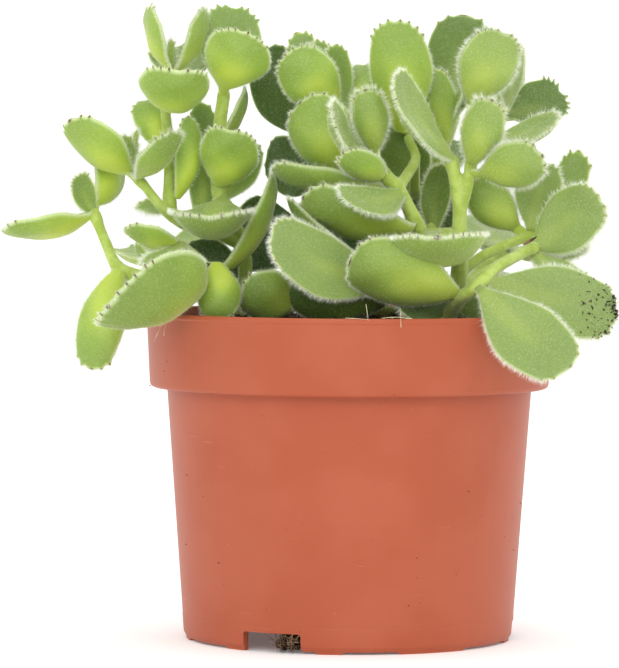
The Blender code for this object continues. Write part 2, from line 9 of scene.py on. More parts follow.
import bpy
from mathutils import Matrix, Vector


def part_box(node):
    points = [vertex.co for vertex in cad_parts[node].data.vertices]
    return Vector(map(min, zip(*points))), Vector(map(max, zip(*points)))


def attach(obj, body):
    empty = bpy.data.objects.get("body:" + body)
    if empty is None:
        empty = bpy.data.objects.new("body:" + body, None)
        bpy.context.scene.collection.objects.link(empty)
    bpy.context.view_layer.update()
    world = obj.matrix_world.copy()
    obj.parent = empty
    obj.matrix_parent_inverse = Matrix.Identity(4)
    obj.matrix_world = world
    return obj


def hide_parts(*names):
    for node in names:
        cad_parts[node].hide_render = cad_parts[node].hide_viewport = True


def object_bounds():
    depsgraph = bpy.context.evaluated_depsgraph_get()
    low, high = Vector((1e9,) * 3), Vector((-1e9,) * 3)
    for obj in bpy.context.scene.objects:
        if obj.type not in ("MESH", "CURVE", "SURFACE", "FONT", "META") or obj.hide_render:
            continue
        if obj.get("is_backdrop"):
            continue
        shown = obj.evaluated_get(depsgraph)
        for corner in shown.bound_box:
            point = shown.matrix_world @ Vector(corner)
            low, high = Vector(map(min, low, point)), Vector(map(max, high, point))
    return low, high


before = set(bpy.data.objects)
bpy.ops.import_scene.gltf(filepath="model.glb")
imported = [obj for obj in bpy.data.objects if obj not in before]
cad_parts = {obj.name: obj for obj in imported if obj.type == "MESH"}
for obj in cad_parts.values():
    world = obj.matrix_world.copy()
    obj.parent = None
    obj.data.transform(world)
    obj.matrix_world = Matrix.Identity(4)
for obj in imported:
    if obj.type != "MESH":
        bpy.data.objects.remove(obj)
cad_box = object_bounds()
print("CAD nodes:", len(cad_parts))

# %% [markdown]
# ## Units, places and small helpers
#
# Blender works in metres and a plant is easier to describe in millimetres, so every size below
# is in millimetres and is multiplied by MM once. All places hang on the rim of the pot, which
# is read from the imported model, so the plant follows the pot if the pot changes.

# %% Units and the rim
import math

import bmesh
import bpy
import numpy as np
from mathutils import Matrix, Vector, noise

MM = 0.001
BODY = "root"
PLANT_RIM_RADIUS = 53.0
SEED = 20
# Fractal noise: its dimension, its lacunarity and how many octaves it has.
SOIL_NOISE = (1.0, 2.0, 4)
LUMP_NOISE = (1.0, 2.0, 3)

pot_low, pot_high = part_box("pot")
rim_radius = (pot_high.x - pot_low.x) / 2
rim_centre = np.array([(pot_low.x + pot_high.x) / 2, (pot_low.y + pot_high.y) / 2, pot_high.z])
plant_scale = rim_radius / (PLANT_RIM_RADIUS * MM)
chance = np.random.default_rng(SEED)


def in_plant(point):
    """A point of the plant's layout, in metres. The layout is in millimetres from the rim's centre."""
    return rim_centre + np.array(point, float) * plant_scale * MM


def unit(vectors):
    """The vectors at length one."""
    return vectors / np.maximum(np.linalg.norm(vectors, axis=-1, keepdims=True), 1e-12)


def around(radius, angle, height):
    """The point at that distance from the pot's axis, that way round and that high."""
    return radius * math.cos(angle), radius * math.sin(angle), height


def ramp(low, high, value):
    """Rises smoothly from 0 at low to 1 at high."""
    share = np.clip((value - low) / (high - low), 0, 1)
    return share * share * (3 - 2 * share)


print("rim radius", round(rim_radius / MM, 2), "mm, plant scale", round(plant_scale, 3))

# %% [markdown]
# Colours are written as the hex values that a colour picker shows, which are sRGB. Blender's
# shaders add up light, so they need linear values, and one function does that for all of them.
# Every material is a small graph of nodes. One function adds a node with its settings and links,
# and a few more say in a maker's words what most materials need: a colour painted over another,
# blotches of a size, a fine relief.

# %% Colours, nodes and materials


def linear(code):
    """The linear colour of an sRGB hex value such as "#9fb45e", with its alpha."""
    parts = [int(code[start:start + 2], 16) / 255 for start in (1, 3, 5)]
    return (*[p / 12.92 if p <= 0.04045 else ((p + 0.055) / 1.055) ** 2.4 for p in parts], 1.0)


def add(tree, kind, options=(), inputs=()):
    """Adds a shader node. Options are its own settings; inputs are values or links, by socket."""
    node = tree.nodes.new("ShaderNode" + kind)
    for name, value in dict(options).items():
        setattr(node, name, value)
    for name, value in dict(inputs).items():
        if isinstance(value, bpy.types.NodeSocket):
            tree.links.new(value, node.inputs[name])
        else:
            node.inputs[name].default_value = value
    return node


def mixed(tree, share, first, second):
    """The colour between two others, which are hex values or links, by a share that is a link."""
    factor, colour_a, colour_b, result = 0, 6, 7, 2
    first, second = (linear(colour) if isinstance(colour, str) else colour for colour in (first, second))
    node = add(tree, "Mix", {"data_type": "RGBA"}, {factor: share, colour_a: first, colour_b: second})
    return node.outputs[result]


def stretched(tree, value, low, high, most=1.0):
    """Rises smoothly from 0 to its most as the value goes from low to high, and stays in that range."""
    inputs = {"Value": value, "From Min": low, "From Max": high, "To Min": 0.0, "To Max": most}
    return add(tree, "MapRange", {"interpolation_type": "SMOOTHSTEP"}, inputs).outputs["Result"]


def painted(tree, under, over, value, low, high, most=1.0):
    """One colour painted over another, where the value goes from low to high."""
    return mixed(tree, stretched(tree, value, low, high, most), under, over)


def per_mm(size):
    """The scale of a pattern whose features are that many millimetres across."""
    return 1 / (size * MM)


def blotches(tree, place, size, detail=2.0):
    """Noise whose blotches are that many millimetres across, from 0 to 1."""
    inputs = {"Vector": place, "Scale": per_mm(size), "Detail": detail}
    return add(tree, "TexNoise", (), inputs).outputs["Fac"]


def new_material(name, constants):
    """A material with its shader's constants, and the piece's own coordinates."""
    made = bpy.data.materials.new(name)
    made.use_nodes = True
    tree = made.node_tree
    shader = tree.nodes["Principled BSDF"]
    for socket, value in constants.items():
        shader.inputs[socket].default_value = value
    place = add(tree, "TexCoord").outputs["Object"]
    return made, tree, shader, place


def coloured(tree, shader, colour):
    """Gives the shader its colour."""
    tree.links.new(colour, shader.inputs["Base Color"])


def roughened(tree, shader, height, strength, depth):
    """Gives the shader a fine relief of that depth in millimetres."""
    bump = add(tree, "Bump", (), {"Height": height, "Strength": strength, "Distance": depth * MM})
    tree.links.new(bump.outputs["Normal"], shader.inputs["Normal"])


# %% [markdown]
# Pieces are built as lists of points and faces. Lathe work, tubes and leaves all end in the same
# step, so one function turns points and faces into a closed, smooth-shaded piece with its
# normals outward, and another fixes it to the object's body and hides the imported pieces that it stands
# for.

# %% From points to a piece


def in_scene(name, data):
    """A new object in the scene that shows the data."""
    made = bpy.data.objects.new(name, data)
    bpy.context.scene.collection.objects.link(made)
    return made


def piece_from_faces(name, points, faces, finish, values=()):
    """A smooth-shaded object from points in metres. Values are named numbers, one per point."""
    mesh = bpy.data.meshes.new(name)
    mesh.from_pydata(points, [], faces)
    for value_name, numbers in dict(values).items():
        layer = mesh.attributes.new(value_name, "FLOAT", "POINT")
        layer.data.foreach_set("value", np.asarray(numbers, np.float32))
    mesh.materials.append(finish)
    return in_scene(name, mesh)


def closed_and_smooth(made):
    """Turns every face outward and shades the piece smooth."""
    shape = bmesh.new()
    shape.from_mesh(made.data)
    bmesh.ops.recalc_face_normals(shape, faces=shape.faces)
    shape.to_mesh(made.data)
    shape.free()
    made.data.shade_smooth()
    return made


def apply_modifiers(made):
    """Replaces the piece's mesh with its evaluated one."""
    view = bpy.context.evaluated_depsgraph_get()
    view.update()
    fresh = bpy.data.meshes.new_from_object(made.evaluated_get(view))
    made.modifiers.clear()
    made.data = fresh
    return made


def settle(made, slot, *nodes):
    """Fixes the piece to the object's one body, and hides the imported pieces that it stands for."""
    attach(made, BODY)
    if nodes:
        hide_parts(*nodes)
    return made


# %% [markdown]
# ## The pot
#
# The real pot is injection moulded in polypropylene, pigmented to look like terracotta. A mould
# leaves a surface that is smooth but not polished: a satin sheen with broad soft highlights, a
# grain too fine to see, and hairline scuffs from being stacked and handled. A pot is a solid of
# revolution, so a lathe is the natural way to make it. The section below has rounded edges with
# real radii, because sharp edges would catch no light.

# %% Pot sizes
POT_HEIGHT = 85.0
RIM_RADIUS = 53.0
BASE_RADIUS = 42.7
WALL = 1.5
BAND_HEIGHT = 19.7
BAND_STEP = 4.45
BAND_TAPER = 0.9
BAND_CORNER = 1.5
LIP_BEAD = 0.3
LIP_HEIGHT = 1.1
EDGE_ROUND = 0.45
BASE_ROUND = 1.0
FLOOR_LIFT = 5.0
FLOOR_THICKNESS = 1.6
FOOT_HEIGHT = 0.6
CENTRE_FOOT_RADIUS = 8.0
NOTCH_COUNT = 3
NOTCH_WIDTH = 16.4
NOTCH_AZIMUTH = -117.6
# Feet: each is the first and last direction, in degrees from the notch before it.
FEET = ((16.0, 26.0), (45.0, 72.0), (100.0, 109.0))
DRAIN_SLOT_WIDTH = 3.6
DRAIN_SLOT_MARGIN = 2.0
MOULD_LINE_HEIGHT = 6.4
MOULD_LINE_STEP = 0.07
POT_FACETS = 240
rim_bottom = POT_HEIGHT - BAND_HEIGHT
band_bottom_radius = RIM_RADIUS - LIP_BEAD - BAND_TAPER
body_top_radius = band_bottom_radius - BAND_STEP
outside_top = RIM_RADIUS - LIP_BEAD
floor_top = FLOOR_LIFT + FLOOR_THICKNESS

# %% Pot section


def rounded(points, radii, steps=5):
    """A polyline whose corners are rounded by arcs of the given radii."""
    rounded_points = [points[0]]
    for before, corner, after, radius in zip(points, points[1:], points[2:], radii[1:]):
        here = np.array(corner, float)
        back = unit(np.array(before, float) - here)
        ahead = unit(np.array(after, float) - here)
        if radius == 0:
            rounded_points.append(corner)
            continue
        half = math.acos(np.clip(back @ ahead, -1, 1)) / 2
        reach = radius / math.tan(half)
        for step in range(steps + 1):
            t = step / steps
            start, end = here + back * reach, here + ahead * reach
            point = (1 - t) ** 2 * start + 2 * t * (1 - t) * here + t * t * end
            rounded_points.append(tuple(point))
    return rounded_points + [points[-1]]


def pot_section():
    """The section from the centre of the underside, up the outside and down the inside.

    Each corner is its radius and height, and then how far it is rounded.
    """
    inside_base = BASE_RADIUS - WALL
    lip_bottom = POT_HEIGHT - LIP_HEIGHT
    line_radius = BASE_RADIUS + (body_top_radius - BASE_RADIUS) * MOULD_LINE_HEIGHT / rim_bottom
    corners = [
        ((0, 0), 0),
        ((CENTRE_FOOT_RADIUS, 0), 0.3),
        ((CENTRE_FOOT_RADIUS, FLOOR_LIFT), 0.3),
        ((inside_base - BASE_ROUND, FLOOR_LIFT), 0.3),
        ((inside_base - BASE_ROUND, FOOT_HEIGHT), 0.1),
        ((BASE_RADIUS - 0.6 * BASE_ROUND, FOOT_HEIGHT), 0.1),
        ((BASE_RADIUS + 0.1 * BASE_ROUND, FOOT_HEIGHT + 1.2 * BASE_ROUND), BASE_ROUND),
        ((line_radius, MOULD_LINE_HEIGHT), 0.05),
        ((line_radius - MOULD_LINE_STEP, MOULD_LINE_HEIGHT + 0.15), 0.05),
        ((body_top_radius, rim_bottom), 0.5),
        ((band_bottom_radius, rim_bottom), BAND_CORNER),
        ((outside_top, lip_bottom - EDGE_ROUND), 0.3),
        ((RIM_RADIUS, lip_bottom), 0.25),
        ((RIM_RADIUS, POT_HEIGHT), EDGE_ROUND),
        ((outside_top - WALL, POT_HEIGHT), EDGE_ROUND),
        ((band_bottom_radius - WALL, rim_bottom + WALL), 0.5),
        ((body_top_radius - WALL, rim_bottom + WALL), 0.5),
        ((inside_base, floor_top), 0.8),
        ((0, floor_top), 0),
    ]
    return rounded([corner for corner, _ in corners], [radius for _, radius in corners])


print("pot section points:", len(pot_section()))

# %% [markdown]
# Polypropylene scatters a little light under its surface, which is why such a pot glows warm
# where light falls on it and never looks quite as hard as paint. Its index of refraction is
# about 1.49. The scuffs are stretched noise: thin lines that are paler and a little shinier.

# %% Terracotta polypropylene, injection moulded


def moulded_polypropylene():
    """Satin plastic with a faint grain, pale specks and hairline scuffs."""
    made, tree, shader, place = new_material("terracotta_polypropylene_moulded", {
        "IOR": 1.49, "Specular IOR Level": 0.25, "Subsurface Weight": 0.12,
        "Subsurface Radius": (1.0, 0.35, 0.2), "Subsurface Scale": 1.2 * MM})
    base = painted(tree, "#a75236", "#ac583d", blotches(tree, place, 24, 3.0), 0.35, 0.65)
    base = painted(tree, base, "#cf8467", blotches(tree, place, 1.1), 0.72, 0.8, 0.35)
    turn, stretch = (0.1, 0.15, 0.1), (0.05, 0.05, 1)
    lean = add(tree, "Mapping", (), {"Vector": place, "Rotation": turn, "Scale": stretch})
    scuff = stretched(tree, blotches(tree, lean.outputs["Vector"], 0.7), 0.71, 0.8)
    coloured(tree, shader, painted(tree, base, "#d48c70", scuff, 0.0, 1.0, 0.25))
    rough = add(tree, "MapRange", (), {"Value": scuff, "To Min": 0.44, "To Max": 0.36})
    tree.links.new(rough.outputs["Result"], shader.inputs["Roughness"])
    roughened(tree, shader, blotches(tree, place, 0.5), 0.12, 0.05)
    return made


plastic = moulded_polypropylene()

# %% [markdown]
# The base of such a pot has three drain notches in its foot ring and a slot in the floor behind
# each one, so that water finds its way out when the pot stands on a flat surface. They are cut
# with a Boolean, as a machinist would mill them, because they cross the turned shape squarely.

# %% Turn the pot and cut its drain
CUT_CORNER = 0.6
CUT_CORNER_STEPS = 4
LEVEL_WITHIN = 1e-6
SHARP_ANGLE = 40.0
FOOT_MARGIN = 1.05


def turned(name, section, facets, finish):
    """Spins a section of (radius, height) points, both ends on the axis, into a closed piece."""
    angles = np.linspace(0, math.tau, facets, endpoint=False)
    inner = section[1:-1]
    rings = [[around(radius, angle, height) for angle in angles] for radius, height in inner]
    points = [(0, 0, section[0][1])] + [p for ring in rings for p in ring] + [(0, 0, section[-1][1])]
    faces = []
    for number in range(facets):
        following = (number + 1) % facets
        faces.append((0, 1 + following, 1 + number))
        for ring in range(len(inner) - 1):
            low, high = 1 + ring * facets, 1 + (ring + 1) * facets
            faces.append((low + number, low + following, high + following, high + number))
        last = 1 + (len(inner) - 1) * facets
        faces.append((last + number, last + following, len(points) - 1))
    made = piece_from_faces(name, np.array(points) * MM, faces, finish)
    return closed_and_smooth(made)


def cut_box(target, size, reach, azimuth):
    """Cuts a box out of the target. Reach is its centre's distance from the axis and its height."""
    shape = bmesh.new()
    bmesh.ops.create_cube(shape, size=1.0)
    turn = Matrix.Rotation(math.radians(azimuth), 4, "Z")
    place = turn @ Matrix.Translation(Vector((reach[0], 0, reach[1])) * MM)
    grow = Matrix.Diagonal((*[side * MM for side in size], 1))
    bmesh.ops.transform(shape, matrix=place @ grow, verts=shape.verts)
    level_edges = [e for e in shape.edges if abs(e.verts[0].co.z - e.verts[1].co.z) < LEVEL_WITHIN]
    bmesh.ops.bevel(shape, geom=level_edges, offset=CUT_CORNER * MM, segments=CUT_CORNER_STEPS,
                    affect="EDGES", profile=0.5)
    mesh = bpy.data.meshes.new("cutter")
    shape.to_mesh(mesh)
    shape.free()
    cutter = in_scene("cutter", mesh)
    step = target.modifiers.new("cut", "BOOLEAN")
    step.operation = "DIFFERENCE"
    step.object = cutter
    apply_modifiers(target)
    bpy.data.objects.remove(cutter)


def on_foot(azimuth):
    """Whether the pot stands on a foot in that direction."""
    past_notch = (azimuth - NOTCH_AZIMUTH) % (360 / NOTCH_COUNT)
    return any(first <= past_notch <= last for first, last in FEET)


def make_pot():
    """The turned pot with its feet, notches and slots."""
    pot = turned("pot_shell", pot_section(), POT_FACETS, plastic)
    for vertex in pot.data.vertices:
        azimuth = math.degrees(math.atan2(vertex.co.y, vertex.co.x))
        if vertex.co.z < FOOT_MARGIN * FOOT_HEIGHT * MM and on_foot(azimuth):
            vertex.co.z = 0
    slot_outside = BASE_RADIUS - WALL - BASE_ROUND - DRAIN_SLOT_MARGIN
    for number in range(NOTCH_COUNT):
        azimuth = NOTCH_AZIMUTH + number * 360 / NOTCH_COUNT
        notch = (3 * WALL + BASE_ROUND, NOTCH_WIDTH, 2 * FLOOR_LIFT)
        cut_box(pot, notch, (BASE_RADIUS - WALL / 2, 0), azimuth)
        slot = (DRAIN_SLOT_WIDTH, NOTCH_WIDTH, 4 * FLOOR_THICKNESS)
        cut_box(pot, slot, (slot_outside - DRAIN_SLOT_WIDTH / 2, floor_top - FLOOR_THICKNESS), azimuth)
    pot.data.set_sharp_from_angle(angle=math.radians(SHARP_ANGLE))
    return settle(pot, "terracotta_plastic", "pot")


pot = make_pot()
print("pot faces:", len(pot.data.polygons))

# %% [markdown]
# ## The soil
#
# Potting soil for succulents is dark peat with crumbs of bark, a few pale grains of perlite and
# fine root fibres. One bumpy surface would look like felt, so the body of the soil is a solid
# with a rough top, and crumbs, grains and fibres are scattered over it as real shapes.

# %% Peat, perlite and fibre materials


def peat():
    """Damp dark peat: almost black, with brown crumbs of all sizes in it, and matt throughout."""
    made, tree, shader, place = new_material("potting_peat_damp", {"Roughness": 0.85})
    coloured(tree, shader, painted(tree, "#1c120c", "#55402c", blotches(tree, place, 2.5, 5.0), 0.38, 0.66))
    roughened(tree, shader, blotches(tree, place, 0.6, 4.0), 0.6, 0.3)
    return made


def perlite():
    """Expanded volcanic glass: off-white with darker pores, and a little shiny."""
    made, tree, shader, place = new_material("perlite_expanded", {"Roughness": 0.4})
    pore = add(tree, "TexVoronoi", (), {"Vector": place, "Scale": per_mm(0.5)}).outputs["Distance"]
    coloured(tree, shader, painted(tree, "#8d8678", "#e4e0d4", pore, 0.1, 0.6))
    roughened(tree, shader, pore, 0.5, 0.2)
    return made


def root_fibre(name, dark, light):
    """Dry root and bark fibre: one tone with a darker run here and there."""
    made, tree, shader, place = new_material(name, {"Roughness": 0.8})
    coloured(tree, shader, painted(tree, dark, light, blotches(tree, place, 3), 0.4, 0.6))
    return made


peat_damp = peat()
perlite_grain = perlite()
fibre_dry = root_fibre("root_fibre_dry", "#4a3220", "#8a6e4e")
straw = root_fibre("straw_fibre_bleached", "#b9a37a", "#e0d2ae")

# %% Soil body
SOIL_CLEARANCE = 0.35
SOIL_EDGE_DEPTH = 4.0
SOIL_DOME = 3.0
SOIL_ROUGHNESS = 0.9
SOIL_CLOD = 3.2
SOIL_SINK = 0.25
SOIL_SKIRT = 1.0
SOIL_RINGS = 50
SOIL_FACETS = 180
soil_radius = band_bottom_radius - WALL - SOIL_CLEARANCE


def soil_height(x, y):
    """The height of the soil's top there, in millimetres above the ground, without its roughness."""
    share = min(1.0, math.hypot(x, y) / soil_radius)
    return POT_HEIGHT - SOIL_EDGE_DEPTH + SOIL_DOME * (1 - share * share)


def make_soil():
    """The soil as a turned solid whose top is pushed up and down by noise."""
    section = [
        (0, floor_top + SOIL_CLEARANCE),
        (BASE_RADIUS - WALL - 2 * SOIL_CLEARANCE, floor_top + SOIL_CLEARANCE),
        (body_top_radius - WALL - 2 * SOIL_CLEARANCE, rim_bottom + WALL + SOIL_CLEARANCE),
        (soil_radius, rim_bottom + WALL + SOIL_CLEARANCE),
        (soil_radius, POT_HEIGHT - SOIL_EDGE_DEPTH - SOIL_SKIRT),
    ]
    for ring in range(SOIL_RINGS + 1):
        share = 1 - ring / SOIL_RINGS
        section.append((soil_radius * share, soil_height(soil_radius * share, 0)))
    soil = turned("soil_body", section, SOIL_FACETS, peat_damp)
    edge = (POT_HEIGHT - SOIL_EDGE_DEPTH - SOIL_SKIRT / 2) * MM
    for vertex in soil.data.vertices:
        if vertex.co.z > edge:
            lift = noise.fractal(vertex.co / (SOIL_CLOD * MM), *SOIL_NOISE) - SOIL_SINK
            vertex.co.z += lift * SOIL_ROUGHNESS * MM
    return settle(soil, "potting_soil", "soil")


soil = make_soil()
print("soil faces:", len(soil.data.polygons))

# %% Crumbs and grains
CRUMB_COUNT = 1500
CRUMB_SMALLEST = 0.8
CRUMB_SPREAD = 2.2
CRUMB_RARITY = 2.5
GRAIN_COUNT = 60
GRAIN_SIZES = (0.9, 2.2)
GRAIN_ROUGHNESS = 0.6
LUMP_ROUGHNESS = 0.9
LUMP_WIDTHS = (0.6, 1)
LUMP_HEIGHTS = (0.5, 0.9)
LUMP_KINDS = 8
LUMP_DETAIL = 2.3
LUMP_SPACING = 7.1


def lump(seed, roughness):
    """The points and faces of a rough lump about one unit across."""
    shape = bmesh.new()
    bmesh.ops.create_icosphere(shape, subdivisions=2, radius=0.5)
    for vertex in shape.verts:
        push = noise.fractal(vertex.co * LUMP_DETAIL + Vector((seed * LUMP_SPACING, 0, 0)), *LUMP_NOISE)
        vertex.co *= 1 + roughness * push
    points = np.array([vertex.co for vertex in shape.verts])
    faces = np.array([[vertex.index for vertex in face.verts] for face in shape.faces])
    shape.free()
    return points, faces


def random_turn():
    """A random rotation matrix."""
    axis = unit(chance.normal(size=3))
    return np.array(Matrix.Rotation(chance.uniform(0, math.tau), 3, Vector(axis)))


def scattered(name, places, sizes, roughness, finish):
    """Lumps of the given sizes at the given places, all in millimetres, as one piece of the soil."""
    kinds = [lump(seed, roughness) for seed in range(LUMP_KINDS)]
    points, faces, count = [], [], 0
    for number, (place, size) in enumerate(zip(places, sizes)):
        shape, sides = kinds[number % len(kinds)]
        flat = np.array([1, chance.uniform(*LUMP_WIDTHS), chance.uniform(*LUMP_HEIGHTS)])
        points.append((shape * flat * size) @ random_turn().T + place)
        faces.append(sides + count)
        count += len(shape)
    made = piece_from_faces(name, np.concatenate(points) * MM, np.concatenate(faces).tolist(), finish)
    return settle(closed_and_smooth(made), "potting_soil")


def on_soil(count, inner, outer, lift):
    """Random places on the soil's top between two radii."""
    places = []
    for _ in range(count):
        angle = chance.uniform(0, math.tau)
        radius = math.sqrt(chance.uniform(inner ** 2, outer ** 2))
        x, y, _ = around(radius, angle, 0)
        places.append((x, y, soil_height(x, y) + chance.uniform(-lift, lift)))
    return places


crumb_places = on_soil(CRUMB_COUNT, inner=0, outer=soil_radius - 1.2, lift=0.5)
crumb_sizes = CRUMB_SMALLEST + CRUMB_SPREAD * chance.random(CRUMB_COUNT) ** CRUMB_RARITY
scattered("soil_crumbs", crumb_places, crumb_sizes, LUMP_ROUGHNESS, peat_damp)
grain_places = on_soil(GRAIN_COUNT, inner=5, outer=soil_radius - 1.5, lift=0.6)
grain_sizes = chance.uniform(*GRAIN_SIZES, GRAIN_COUNT)
scattered("perlite_grains", grain_places, grain_sizes, GRAIN_ROUGHNESS, perlite_grain)
print("crumbs:", CRUMB_COUNT, "grains:", GRAIN_COUNT)

# %% [markdown]
# Fibres are short curved threads. A thread has a rule, a point that wanders as it goes, so it is
# made as a tube along a small random walk. The same tube maker builds the plant's stems later.

# %% Tubes along a path
CAP_SHARES = (0.9, 0.6)
SIDEWAYS = (0.31, 0.87, 0.38)
THREAD_STEPS = 9
THREAD_SIDES = 5


def tube(path, radii, sides):
    """Points and faces of a closed tube along the path, with round ends."""
    path = np.asarray(path, float)
    radii = np.broadcast_to(radii, len(path)).astype(float)
    ways = unit(np.gradient(path, axis=0))
    side = unit(np.cross(ways[0], SIDEWAYS))
    centres, sizes, frames = list(path), list(radii), []
    for way in ways:
        side = unit(side - way * (side @ way))
        frames.append((side, np.cross(way, side)))
    for share in CAP_SHARES:
        height = math.sqrt(1 - share * share)
        first_cap = path[0] - ways[0] * radii[0] * height
        last_cap = path[-1] + ways[-1] * radii[-1] * height
        centres = [first_cap, *centres, last_cap]
        sizes = [radii[0] * share, *sizes, radii[-1] * share]
        frames = [frames[0], *frames, frames[-1]]
    angles = np.linspace(0, math.tau, sides, endpoint=False)
    points = []
    for centre, size, (first, second) in zip(centres, sizes, frames):
        points.append(centre + size * (np.cos(angles)[:, None] * first + np.sin(angles)[:, None] * second))
    faces = []
    for ring in range(len(centres) - 1):
        for number in range(sides):
            following = (number + 1) % sides
            low, high = ring * sides, (ring + 1) * sides
            faces.append((low + number, low + following, high + following, high + number))
    faces.append(tuple(range(sides))[::-1])
    faces.append(tuple(range((len(centres) - 1) * sides, len(centres) * sides)))
    return np.concatenate(points), faces


def joined(name, parts, finish):
    """One smooth piece from several (points, faces) in metres."""
    points, faces, count = [], [], 0
    for part_points, part_faces in parts:
        points.append(part_points)
        faces += [tuple(corner + count for corner in face) for face in part_faces]
        count += len(part_points)
    return closed_and_smooth(piece_from_faces(name, np.concatenate(points), faces, finish))


def wandering_thread(start, way, length, radius, curl):
    """A thin tube that wanders from its start, in metres."""
    path = [np.array(start, float)]
    for _ in range(THREAD_STEPS):
        way = unit(way + chance.normal(size=3) * curl)
        path.append(path[-1] + way * length / THREAD_STEPS)
    return tube(path, np.linspace(radius, 0.5 * radius, THREAD_STEPS + 1), THREAD_SIDES)


# %% Fibres on the soil
FIBRE_COUNT = 120
FIBRE_LENGTHS = (3, 9)
FIBRE_RADIUS = 0.08
FIBRE_CURL = 0.35
FIBRE_TILT = 0.25
fibres = []
for place in on_soil(FIBRE_COUNT, inner=0, outer=soil_radius - 2, lift=0.4):
    flat_way = unit(np.array([chance.normal(), chance.normal(), FIBRE_TILT]))
    length = chance.uniform(*FIBRE_LENGTHS) * MM
    fibres.append(wandering_thread(np.array(place) * MM, flat_way, length, FIBRE_RADIUS * MM, FIBRE_CURL))
settle(joined("soil_fibres", fibres, fibre_dry), "potting_soil")
print("fibres:", len(fibres))

# %% [markdown]
# ## The plant's layout
#
# A stem is a list of branches and a branch is a radius at its foot, a radius at its tip and a
# few points, given one by one. A leaf is the point where it leaves its stem, the point of
# its tip, its width, the direction that its upper face looks, its number of claws and how much
# it curls. The same rows built the imported model, so each fine leaf lands on its plain one.

# %% Stems and leaves, in millimetres from the rim's centre
# Stems: each is a list of branches, and a branch is (radius at its foot, radius at its tip, points).
STEMS = {
    "stem_left": [
        (2.2, 1.7, [(-30, 0, -10), (-28, 3, 4), (-28, 4, 17), (-31, 3, 23), (-34, 2, 31), (-34, 2, 47),
                    (-33, 1, 56)]),
        (1.7, 1.3, [(-28, 4, 17), (-37, 0, 21), (-46, -3, 25), (-47, -1, 42), (-48, 0, 52), (-46, 1, 61)]),
        (1.4, 1.2, [(-46, -3, 24), (-49, -5, 27), (-53, -5, 32), (-55, -4, 34)]),
        (2.0, 1.3, [(-30, 0, -8), (-35, -12, 2), (-41, -18, 7), (-51, -18, 9), (-59, -17, 11),
                    (-63, -12, 18), (-66, -8, 25)]),
        (1.8, 1.2, [(-30, 0, -8), (-33, -10, 2), (-35, -17, 9), (-39, -20, 14), (-43, -21, 17)]),
        (1.8, 1.4, [(-30, 0, -8), (-34, 16, 2), (-40, 26, 8), (-46, 32, 14)]),
    ],
    "stem_centre": [
        (2.4, 1.6, [(18, -4, -10), (20, -5, 2), (20, -6, 12), (19, -7, 18), (16, -9, 25), (12, -9, 32),
                    (9, -9, 35), (6, -8, 39)]),
        (1.5, 1.2, [(12, -9, 32), (15, -3, 36), (17, 2, 40), (15, 4, 45)]),
        (1.4, 1.2, [(6, -8, 38), (4, -4, 43), (0, 1, 48), (-3, 5, 51)]),
        (1.8, 1.4, [(18, -4, -8), (14, -14, 0), (13, -20, 6), (10, -23, 12)]),
        (1.7, 1.3, [(14, -14, 0), (4, -15, 1), (-6, -17, 3), (-11, -20, 5)]),
        (2.0, 1.4, [(18, -4, -8), (6, 12, 2), (-2, 18, 16), (-5, 18, 32), (-10, 17, 45)]),
    ],
    "stem_right": [
        (2.6, 1.6, [(26, -10, -10), (27, -12, 2), (28, -13, 12), (28, -12, 20), (28, -12, 27),
                    (27, -10, 34), (26, -9, 39)]),
        (1.7, 1.3, [(28, -12, 26), (30, -11, 33), (31, -10, 40), (30, -9, 46), (31, -8, 52)]),
        (1.3, 1.2, [(31, -10, 38), (34, -4, 42), (38, 1, 47), (40, 5, 52)]),
        (1.5, 1.3, [(28, -13, 10), (33, -9, 14), (39, -6, 17), (47, -2, 20)]),
        (2.0, 1.4, [(26, -10, -8), (25, -21, -1), (27, -30, 4), (31, -35, 7), (35, -32, 11), (40, -25, 14),
                    (47, -15, 17)]),
        (2.2, 1.4, [(26, -10, -8), (25, 4, 2), (22, 12, 16), (21, 13, 31), (24, 12, 42), (27, 11, 50)]),
        (1.6, 1.3, [(25, 4, 1), (30, 18, 6), (36, 26, 11), (42, 30, 16)]),
    ],
}

